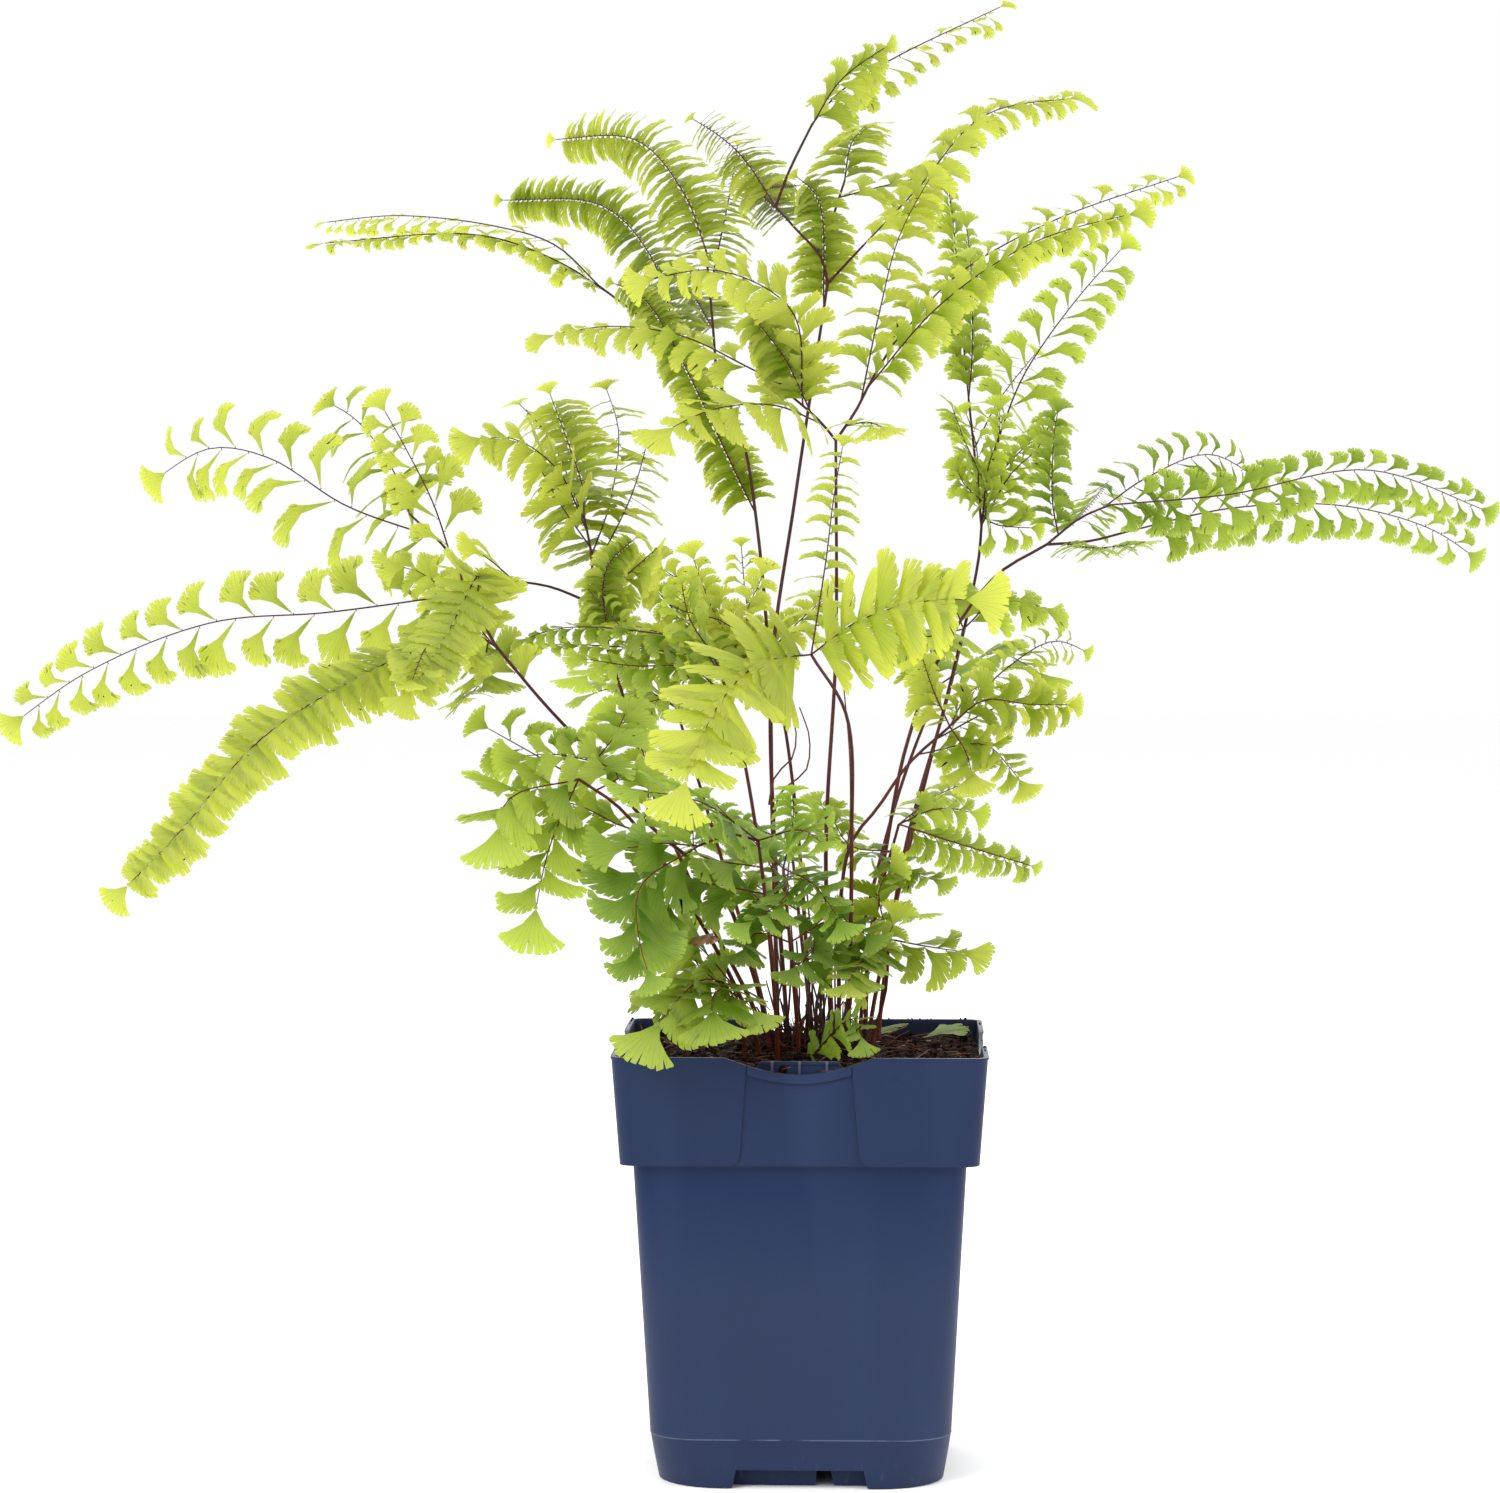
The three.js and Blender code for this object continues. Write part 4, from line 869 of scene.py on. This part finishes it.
def lobed_margin():
    """Parts of the spread, and how much of the full reach the margin keeps at each."""
    slits = chance.sample(range(1, LOBES), 3)
    parts, keeps = [], []
    for lobe in range(LOBES):
        cut = chance.uniform(0.66, 0.82) if lobe in slits else chance.uniform(0.87, 0.93)
        reach = chance.uniform(0.96, 1.03)
        for step in LOBE_STEPS:
            parts.append((lobe + step) / LOBES)
            keeps.append(reach + chance.uniform(-0.02, 0.02) if step else cut)
    return np.array(parts + [1.0]), np.array(keeps + [0.95])


def add_leaflet(sheet, foot, out, along, face, size, *, narrow=0.62, wedge=0.4, start=0, spread=98,
        sag=0.5, twist=0.0, lean=0.25, tone=0.5):
    """Adds a leaflet that grows from its foot in the out direction. Face is out of its sheet."""
    first = len(sheet.corners)
    parts, keeps = lobed_margin()
    rows = [(np.array([0.0]), np.array([0.0]))]
    for row_parts, share in ((np.linspace(0, 1, 7), 0.4), (np.linspace(0, 1, 13), 0.72), (parts, keeps)):
        wide = np.mean(share) ** wedge
        swings = np.radians(start + spread * (0.5 + (row_parts - 0.5) * wide))
        rows.append((swings, outline(np.abs(np.minimum(swings, math.pi / 2)), narrow) * share))
    swing = np.concatenate([row[0] for row in rows])
    reach = np.concatenate([row[1] for row in rows])
    x, y = reach * np.cos(swing), reach * np.sin(swing)
    y = y + lean * (1 - (1 - np.clip(x, 0, 1)) ** 2)
    ripple = 0.025 * reach * np.sin(11 * swing + tone * 9)
    z = ripple - 0.12 * (y - 0.25) ** 2 - (1 - np.cos(sag * x)) / sag
    x = np.sin(sag * x) / sag
    y, z = y * math.cos(twist) - z * math.sin(twist), y * math.sin(twist) + z * math.cos(twist)
    basis = np.array([out, along, face])
    places = np.array(foot) + size * (np.stack([x, y, z], axis=1) @ basis)
    sheet.corners.extend(map(tuple, places))
    sheet.fans.extend(zip((np.degrees(swing) - start) / spread, reach))
    sheet.fans[first] = (0.5, 0.0)
    sheet.tones.extend([tone] * len(places))
    inner, middle, outer = first + 1, first + 8, first + 21
    for k in range(6):
        sheet.faces.append((first, inner + k, inner + k + 1))
    for k in range(6):
        a, b, c = inner + k, inner + k + 1, middle + 2 * k
        sheet.faces.extend([(a, c, c + 1), (a, c + 1, b), (b, c + 1, c + 2)])
    for k in range(12):
        a, b, c = middle + k, middle + k + 1, outer + 3 * k
        sheet.faces.extend([(a, c, c + 1), (a, c + 1, c + 2, b), (b, c + 2, c + 3)])


print("corners on the margin of a leaflet:", LOBES * len(LOBE_STEPS) + 1)


# %% [markdown]
# ## Growing stems
#
# Stalks, branches and ribs are tubes: a ring of corners is carried along the line, and its radius
# shrinks towards the tip. All the stems of a frond are one piece, so they share one dark finish.

# %% Stem tubes
def add_tube(corners, faces, trail, radii, sides=6):
    """A tapering tube along a trail of points, closed at both ends."""
    first = len(corners)
    across = Vector((1, 0.2, 0.1))
    for k, middle in enumerate(trail):
        ahead = (trail[min(k + 1, len(trail) - 1)] - trail[max(k - 1, 0)]).normalized()
        across = (across - ahead * across.dot(ahead)).normalized()
        third = ahead.cross(across)
        for side in range(sides):
            angle = 2 * math.pi * side / sides
            corners.append(middle + radii[k] * (across * math.cos(angle) + third * math.sin(angle)))
    for ring in range(first, first + sides * (len(trail) - 1), sides):
        for side in range(sides):
            after = (side + 1) % sides
            faces.append((ring + side, ring + after, ring + after + sides, ring + side + sides))
    faces.append(tuple(range(first + sides - 1, first - 1, -1)))
    last = first + sides * (len(trail) - 1)
    faces.append(tuple(range(last, last + sides)))


# Each kind of stem: radius at its foot and at its tip and space between rings, in mm, then sides.
STALK, BRANCH, RIB, BARE = (0.75, 0.44, 5, 8), (0.46, 0.36, 4, 6), (0.29, 0.14, 4, 5), (0.34, 0.2, 4, 5)


def add_stem(stems, line, radius, tip_radius, pitch, sides, end=1.0):
    count = max(3, round(end * line.length / (pitch * MM)))
    trail = [line.at(end * k / count) for k in range(count + 1)]
    radii = [MM * (radius + (tip_radius - radius) * k / count) for k in range(count + 1)]
    add_tube(*stems, trail, radii, sides)


print("a stalk is", 2 * STALK[0], "mm thick at its foot and", 2 * STALK[1], "mm at its fork")

# %% [markdown]
# ## Growing a pinna
#
# A pinna is a rib with leaflets left and right in turn. The leaflets are widest a little above the
# foot of the rib and smaller towards its tip, where one open fan ends the row. Pinnae come in six
# kinds, which differ in how close the leaflets stand, how narrow they are, how far they lean
# towards the tip, and how far they turn edge-on, like the slats of a blind.

# %% Pinna
def pinna_kind(pace, twist, scatter, tip, **form):
    """Pace and tip go by the length of a leaflet. The twist varies by the scatter each way."""
    return {"pace": pace, "twist": twist, "scatter": scatter, "tip": tip, "form": form}


KINDS = {
    "fans": pinna_kind(0.34, 0.1, 0.3, 0.8, narrow=0.62, wedge=0.55, lean=0.2),
    "scales": pinna_kind(0.2, 0.15, 0.1, 0.65, narrow=0.56, wedge=0.2, lean=0.1),
    "slats": pinna_kind(0.12, -0.7, 0.1, 0.3, narrow=0.5, wedge=0.45, lean=0.05),
    "steps": pinna_kind(0.34, -0.7, 0.3, 0.45, narrow=0.62, wedge=0.6, lean=0.3),
    "horns": pinna_kind(0.33, -0.35, 0.3, 0.45, narrow=0.36, wedge=1.0, lean=0.55, start=-12, spread=58),
    "wings": pinna_kind(0.4, -0.3, 0.3, 0.5, narrow=0.55, wedge=1.1, lean=0.4, start=-18, spread=76),
}
CROWN = spot((0, 0, 20))
SHADED = 170 * MM

# The first leaflet stands this far along its rib, in mm.
FIRST_LEAFLET = 4.0


def size_along(part):
    return (0.75 + 0.25 * min(1.0, part / 0.18)) * (1 - 0.3 * part - 0.25 * part**2)


def shade(place):
    """Painted shade by depth in the plant: 1 at the crown, falling to 0 where the shade ends."""
    return max(0.0, 1 - (place - CROWN).length / SHADED)


def add_pinna(sheet, stems, rib, kind, length, tilt, turn=0):
    kind = KINDS[kind]
    tilt, turn = math.radians(tilt), math.radians(turn)
    facing = Vector((math.sin(tilt) * math.sin(turn), -math.sin(tilt) * math.cos(turn),
        math.cos(tilt)))
    end = 1 - 0.8 * kind["tip"] * length * MM / rib.length
    add_stem(stems, rib, *RIB, end)
    walked = FIRST_LEAFLET
    side = chance.choice((-1, 1))
    age = chance.uniform(-0.15, 0.4)
    while walked * MM < end * rib.length - 0.25 * length * MM:
        part = walked * MM / rib.length
        along = rib.along(part)
        face = (facing - along * facing.dot(along)).normalized()
        out = along.cross(face) * side
        size = MM * 1.12 * length * size_along(part) * chance.uniform(0.88, 1.1)
        droop = chance.uniform(-0.35, 0.2)
        out = (out * math.cos(droop) + face * math.sin(droop)).normalized()
        foot = rib.at(part) + (out * 0.2 - along * 0.2 - face * 0.3) * MM
        add_tube(*stems, [rib.at(part), foot + out * 0.6 * MM], [0.17 * MM, 0.1 * MM], 3)
        form = dict(kind["form"], narrow=kind["form"]["narrow"] * chance.uniform(0.88, 1.14),
            lean=kind["form"]["lean"] + chance.uniform(-0.12, 0.12))
        # Leaflets near the crown get a darker tone: painted shade.
        add_leaflet(sheet, foot, out, along, face, size, sag=chance.uniform(0.3, 0.8),
            twist=kind["twist"] + chance.uniform(-kind["scatter"], kind["scatter"]),
            tone=age + 0.3 * part + chance.uniform(0, 0.4) - 0.35 * shade(foot), **form)
        walked += kind["pace"] * length * size_along(part)
        side = -side
    tip = rib.along(end)
    face = (facing - tip * facing.dot(tip)).normalized()
    add_leaflet(sheet, rib.at(end), tip, face.cross(tip), face,
        kind["tip"] * length * MM, narrow=0.95, start=-50, spread=100, sag=0.3, lean=0.0,
        tone=age + 0.5)


print("kinds of pinna:", *KINDS)

# %% [markdown]
# ## Peat
#
# Potting peat is dark, damp crumbs held together by reddish fibres. The fill is one closed body:
# a fine grid on top that follows the measured mound, with small lumps added, and sides that follow
# the inside of the pot down to its floor. A grid gives even, small faces, so the lumps can be
# shaped corner by corner with noise. A shallow hollow shows more of the label pocket.

# %% Fill of peat
def ground_height(x, y):
    """The height of the peat in mm at a place in mm: the measured mound and slow waves."""
    mound = 4 * math.exp(-((x - 4) ** 2 + (y - 2) ** 2) / 450)
    waves = 0.9 * math.sin(0.31 * x + 1.3) * math.cos(0.27 * y) + 0.5 * math.sin(0.13 * x - 0.41 * y)
    return SOIL_TOP + mound + waves + 2.5


def lumps(x, y):
    place = Vector((x, y, 0))
    soft = drift.noise(place * 0.16) * 1.4 + drift.noise(place * 0.45) * 0.8
    return soft + abs(drift.noise(place * 0.9)) * 1.0


def within(x, y, half, corner):
    """Moves a place on a square to the square with rounded corners inside it."""
    inner = half - corner
    over = Vector((max(abs(x) - inner, 0), max(abs(y) - inner, 0)))
    if min(over) > 0 and over.length > corner:
        over *= corner / over.length
    near = (min(abs(x), inner) + over.x, min(abs(y), inner) + over.y)
    return math.copysign(near[0], x), math.copysign(near[1], y)


CELLS = 92
PEAT_HALF = 53.3

# Each row of the sides is a height, half the side and the radius of the corners, in mm.
PEAT_SIDES = ((98.6, 50.9, 3.4), (98.2, 47.4, 3.3), (14.6, 43.2, 13.6), (6.4, 41.8, 14.3))

grid = [PEAT_HALF * (2 * k / CELLS - 1) for k in range(CELLS + 1)]
peat_corners = []
for row_y in grid:
    for row_x in grid:
        x, y = within(row_x, row_y, PEAT_HALF, 3.4)
        hollow = 2.6 * max(0, 1 - (x / 14) ** 4) if y < -46 and abs(x) < 14 else 0
        peat_corners.append(Vector((x, y, ground_height(x, y) + lumps(x, y) - hollow)) * MM)
wide = CELLS + 1
peat_faces = [(k, k + 1, k + 1 + wide, k + wide) for k in range(wide * CELLS) if k % wide < CELLS]
border = [*range(CELLS), *range(CELLS, wide * wide - 1, wide),
    *range(wide * wide - 1, wide * CELLS, -1), *range(wide * CELLS, 0, -wide)]
above = border
for height, half, corner in PEAT_SIDES:
    below = range(len(peat_corners), len(peat_corners) + len(border))
    for k in border:
        x, y = grid[k % wide] / PEAT_HALF * half, grid[k // wide] / PEAT_HALF * half
        peat_corners.append(Vector((*within(x, y, half, corner), height)) * MM)
    for k in range(len(border)):
        after = (k + 1) % len(border)
        peat_faces.append((above[k], below[k], below[after], above[after]))
    above = below
peat_faces.append(tuple(below))
peat = new_object("peat_fill", peat_corners, peat_faces)
print("the fill has", len(peat_corners), "corners")

# %% [markdown]
# ### Peat finish
#
# Damp peat is dark, with warm brown crumbs. Two noises mix three browns, and a deep bump breaks
# the surface between the grid's corners. The clod noise sets both colour and bump, so the hollows
# are nearly black: partly the peat's own dark and partly painted shade.

# %% Peat finish
earth = Finish("damp_peat")
clods_and_shade = earth.noise(420, 6, 0.65)
fibre = earth.noise(900, 4, 0.6, earth.stretched((1, 0.35, 1)))
# Darker where the clod bump is low: the peat's own browns, with painted shade in the hollows.
earth_tone = earth.mix(clods_and_shade.between(0.35, 0.65), rgb(10, 6, 4), rgb(38, 22, 14))
earth_tone = earth.mix(fibre.between(0.56, 0.7), earth_tone, rgb(84, 44, 24))
damp_peat = earth.surface({
    "Base Color": earth_tone,
    "Roughness": 0.95 - fibre * 0.25,
    "Normal": earth.bump(clods_and_shade + fibre * 0.5, 0.0014, 0.9),
    "IOR": 1.15,
})
dress(peat, damp_peat, "soil", "soil")

# %% [markdown]
# ### Crumbs
#
# Loose crumbs lie on the peat, and a few have landed on the pot's rim. Each is an icosahedron
# squashed and turned at random, which reads as a crumb once there are hundreds of sizes.

# %% Crumbs
lump = bmesh.new()
bmesh.ops.create_icosphere(lump, subdivisions=1, radius=1)
LUMP_CORNERS = [corner.co.copy() for corner in lump.verts]
LUMP_FACES = [tuple(corner.index for corner in face.verts) for face in lump.faces]
lump.free()


def add_crumb(corners, faces, place, size):
    turn = Matrix.Rotation(chance.uniform(0, 6.3), 3, Vector((chance.random(), chance.random(), 1)))
    squash = [chance.uniform(0.55, 1.2) for _ in range(3)]
    shaped = [place + turn @ Vector([size * s * c for s, c in zip(squash, corner)])
        for corner in LUMP_CORNERS]
    grow(corners, faces, shaped, LUMP_FACES)


CRUMBS, RIM_CRUMBS = 950, 46
crumb_corners, crumb_faces = [], []
for _ in range(CRUMBS):
    x, y = chance.uniform(-51.5, 51.5), chance.uniform(-51.5, 51.5)
    size = 0.35 + 1.3 * chance.random() ** 3
    height = ground_height(x, y) + lumps(x, y) + 0.2 * size
    add_crumb(crumb_corners, crumb_faces, Vector((x, y, height)) * MM, size * MM)
for _ in range(RIM_CRUMBS):
    along_rim, side = chance.uniform(-52, 52), chance.choice((0, 1, 2))
    if abs(along_rim) < 23:
        continue
    place = ((along_rim, 54.4), (54.4, along_rim), (-54.4, along_rim))[side]
    size = chance.uniform(0.2, 0.5)
    add_crumb(crumb_corners, crumb_faces, Vector((*place, RIM_TOP + 0.3 * size)) * MM, size * MM)
dress(new_object("peat_crumbs", crumb_corners, crumb_faces), damp_peat, "soil")

# %% [markdown]
# ### Fibres and old growth
#
# Fibres and bits of old stalk lie across the peat in all directions, so they are bent tubes about
# a third of a millimetre thick. At the crown, where every frond starts, stubs of old stalks stand
# close together like a brush, with root hairs between them. All are dry and red-brown.

# %% Fibres
def add_fibre(corners, faces, start, heading, rise, length, radius):
    trail = [start]
    for _ in range(5):
        heading += chance.uniform(-0.35, 0.35)
        rise += chance.uniform(-0.12, 0.06)
        step = Vector((math.cos(heading) * math.cos(rise), math.sin(heading) * math.cos(rise),
            math.sin(rise)))
        trail.append(trail[-1] + step * length / 5)
    radii = [radius * (1 - 0.1 * k) for k in range(6)]
    add_tube(corners, faces, trail, radii, 4)


FIBRES = 420
fibre_corners, fibre_faces = [], []
for _ in range(FIBRES):
    x, y = chance.uniform(-49, 49), chance.uniform(-49, 49)
    start = Vector((x, y, ground_height(x, y) + lumps(x, y) + 0.2)) * MM
    length = chance.uniform(3, 13) * MM
    radius = chance.choice((0.1, 0.14, 0.2, 0.3)) * MM
    add_fibre(fibre_corners, fibre_faces, start, chance.uniform(0, 6.3), chance.uniform(-0.05, 0.35),
        length, radius)


def dry_finish(name, dark, light, patch=350, rough=0.5, rougher=0.3, depth=0.0002, strength=0.6):
    dry = Finish(name)
    patches = dry.noise(patch, 4, 0.6)
    return dry.surface({
        "Base Color": dry.mix(patches.between(0.35, 0.65), dark, light),
        "Roughness": rough + patches * rougher,
        "Normal": dry.bump(patches, depth, strength),
    })


dry_stalk = dry_finish("dry_stalk", rgb(44, 20, 14), rgb(122, 68, 40))
old_wood = dry_finish("old_wood", rgb(30, 12, 11), rgb(82, 36, 26))
dress(new_object("peat_fibres", fibre_corners, fibre_faces), dry_stalk, "old_stalk")

# %% Old growth at the crown
CROWN_X, CROWN_Y = 3, 4
STUBS, ROOT_HAIRS = 90, 260


def near_crown(angle, away, wide, deep):
    return CROWN_X + wide * away * math.cos(angle), CROWN_Y + deep * away * math.sin(angle)


crown_corners, crown_faces = [], []
for _ in range(STUBS):
    angle, away = chance.uniform(0, 6.3), chance.random() ** 0.6
    x, y = near_crown(angle, away, 17, 13)
    height = 8 + 42 * chance.random() ** 2 * (1.2 - away)
    foot = Vector((x, y, ground_height(x, y) - 2)) * MM
    lean = Vector((x - CROWN_X, y - CROWN_Y, 0)) * 0.012 * height
    lean += Vector((chance.uniform(-6, 6), chance.uniform(-4, 4), 0))
    top = foot + (lean + Vector((0, 0, height))) * MM
    bow = (foot + top) / 2 + Vector((chance.uniform(-2, 2), chance.uniform(-2, 2), 0)) * MM
    add_stem((crown_corners, crown_faces), Line([foot, bow, top], 6), chance.uniform(0.25, 0.6),
        chance.uniform(0.15, 0.3), 6, 5)
for _ in range(ROOT_HAIRS):
    angle, away = chance.uniform(0, 6.3), chance.random() ** 0.5
    x, y = near_crown(angle, away, 18, 14)
    start = Vector((x, y, ground_height(x, y) + chance.uniform(-0.5, 4))) * MM
    add_fibre(crown_corners, crown_faces, start, angle + chance.uniform(-1, 1), chance.uniform(0.1, 1.4),
        chance.uniform(3, 9) * MM, 0.13 * MM)
dress(new_object("old_growth", crown_corners, crown_faces), old_wood, "old_stalk", "old_stalks")

# %% [markdown]
# ## Leaf finish
#
# A leaflet shows its colour mostly by light that comes through it, so its finish mixes a common
# surface with a Translucent one. The place on the fan, kept with each corner, draws the veins:
# they spread from the stalk like spokes, and each forks halfway. Tissue is deeper green near the
# stalk and paler at the lobes, and young leaflets near the tip of a pinna are paler still.
# Leaflets near the crown are darker: their tone holds painted shade.

# %% Leaf finish
def leaf_finish(name, green, veins=11):
    leaf = Finish(name)
    fan = leaf.node("ShaderNodeUVMap", {"uv_map": "fan"})
    swing, reach = leaf.part(fan, "X"), leaf.part(fan, "Y")
    # The tone holds each leaflet's random age and, near the crown, painted shade.
    tone = leaf.node("ShaderNodeAttribute", {"attribute_name": "tone"}, output="Fac")
    spokes = (swing * (veins * math.pi)).wave().size().between(0.3, 0.0)
    forks = (swing * (2 * veins * math.pi)).wave().size().between(0.35, 0.0)
    vein = spokes + forks * reach.between(0.4, 0.55) * 0.5
    patches = leaf.noise(140, 2)
    red, mid, _, _ = green
    hue = red / mid
    deep = (0.25 * mid * min(0.6, 0.95 * hue), 0.25 * mid, 0.005 * mid, 1)
    bright = min(0.64, 0.98 * mid**0.6)
    pale = (bright * min(0.97, 0.38 + hue), bright, 0.25 * bright, 1)
    glow = (bright * min(0.9, 0.32 + hue), bright, 0.045 * bright, 1)
    spread = reach.between(0.1, 0.85) * 0.5 + reach.between(0.8, 0.97) * 0.3 + swing * 0.15
    spread = (spread + tone * 0.7 + patches * 0.25).between(0.4, 1.5)
    body = leaf.mix(spread, deep, pale)
    body = leaf.mix(vein * 0.4, body, deep)
    inputs = {
        "Base Color": body,
        "Roughness": 0.46 + patches * 0.15,
        "Normal": leaf.bump(vein + patches * 0.4, 0.00006, 0.5),
        "IOR": 1.2,
    }
    front = leaf.node("ShaderNodeBsdfPrincipled", None, inputs)
    through = leaf.node("ShaderNodeBsdfTranslucent", None, {"Color": glow})
    share = 0.2 + spread * 0.5 - vein * 0.12
    return leaf.end(leaf.node("ShaderNodeMixShader", None, {0: share, 1: front, 2: through}))


# %% [markdown]
# ## Stem finish
#
# The stalks look like dark wire: purple brown, redder near the soil, with a soft gloss. Fine ridges
# along them break the highlight.

# %% Stem finish
wire = Finish("stalk_wire")
wire_height = wire.part(wire.place(), "Z")
wire_patches = wire.noise(300, 3, 0.6, wire.stretched((1, 1, 0.3)))
wire_tone = wire.mix(wire_height.between(0.13, 0.26), rgb(92, 42, 30), rgb(66, 38, 36))
wire_tone = wire.mix(wire_patches.between(0.4, 0.7) * 0.6, wire_tone, rgb(38, 20, 20))
stalk_wire = wire.surface({
    "Base Color": wire_tone,
    "Roughness": 0.4 + wire_patches * 0.2,
    "Normal": wire.bump(wire.noise(1500, 2, 0.5, wire.stretched((1, 1, 0.1))), 0.0001),
    "IOR": 1.25,
})

# %% [markdown]
# ## Growing every frond
#
# One loop now reads the table. Each frond becomes two pieces, its leaflets and its stems, which
# stand for the measured leaves and stalk of the same name.

# %% Grow
def grow_frond(row):
    x, y, _ = row["stalk"][0]
    lines = [Line([spot((x, y, -12)), spot((x, y, 7)), *map(spot, row["stalk"][1:])])]
    stems = ([], [])
    add_stem(stems, lines[0], *STALK)
    for (parent, part), stops in row["branches"]:
        lines.append(Line([lines[int(parent)].at(part), *map(spot, stops)]))
        add_stem(stems, lines[-1], *BRANCH)
    sheet = Sheet()
    for kind, (parent, part, *form), stops in row["pinnae"]:
        rib = Line([lines[int(parent)].at(part), *map(spot, stops)])
        add_pinna(sheet, stems, rib, kind, *form)
    green = leaf_finish(row["name"] + "_green", rgb(*row["green"]))
    dress(sheet.thing(row["name"] + "_leaflets"), green, row["slot"], row["name"] + "_leaves")
    dress(new_object(row["name"] + "_stems", *stems), stalk_wire, "stalk", row["name"] + "_stalk")


for row in FRONDS:
    grow_frond(row)

# %% [markdown]
# ## Bare stems
#
# Three hair-thin stems without leaflets rise through the middle. They lost theirs long ago, and
# they are too thin for the measured model, so they are a piece of their own that replaces nothing.

# %% Bare stems
bare = ([], [])
for stops in (
    [(-9, -4, 70), (-7, -6, 82), (-4, -6, 85), (1, -4, 89), (2, 0, 99), (-1, 0, 108)],
    [(-10, -8, 79), (-8, -10, 88), (-3, -8, 93), (-2, -5, 102), (-4, -5, 108)],
    [(10, 2, -4), (10, 2, 39), (12, 6, 57), (14, 12, 70), (14, 18, 92), (12, 20, 115)],
):
    add_stem(bare, Line([*map(spot, stops)]), *BARE)
dress(new_object("bare_stems", *bare), stalk_wire, "stalk")

# %% [markdown]
# ## Loose leaflets
#
# Two green leaflets have dropped on the peat, and a brown one hangs caught near the rim. They are
# the same lobed sheet as an open fan. The green ones rise a little from their stalks, and a strong
# sag curls the brown one. Their places are read from the measured model.

# %% Loose leaflets
withered_leaf = dry_finish("withered_leaf", rgb(70, 40, 26), rgb(176, 128, 96), 300, 0.6, 0.2,
    0.0004, 0.8)


def loose_leaflet(node, finish, slot, heading, size, sag, rise=0):
    low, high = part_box(node)
    heading, rise = math.radians(heading), math.radians(rise)
    ahead = Vector((math.cos(heading), math.sin(heading), 0))
    foot = Vector(((low.x + high.x) / 2, (low.y + high.y) / 2, high.z - 0.4 * MM))
    foot -= ahead * 0.5 * size * MM
    across = Vector((0, 0, 1)).cross(ahead)
    out = ahead * math.cos(rise) + Vector((0, 0, math.sin(rise)))
    sheet = Sheet()
    add_leaflet(sheet, foot, out, across, out.cross(across), size * MM, narrow=0.95, start=-52,
        spread=104, sag=sag, lean=0.0)
    dress(sheet.thing(node + "_sheet"), finish, slot, node)


loose_leaflet("fallen_leaflet_left", leaf_finish("fallen_green", rgb(96, 150, 44)), "leaf_deep",
    -20, 13, 0.4, 24)
loose_leaflet("fallen_leaflet_right", leaf_finish("fallen_bright", rgb(112, 168, 50)), "leaf_mid",
    15, 14, 0.4, 26)
loose_leaflet("withered_leaflet", withered_leaf, "leaf_dead", -130, 8, 0.9)
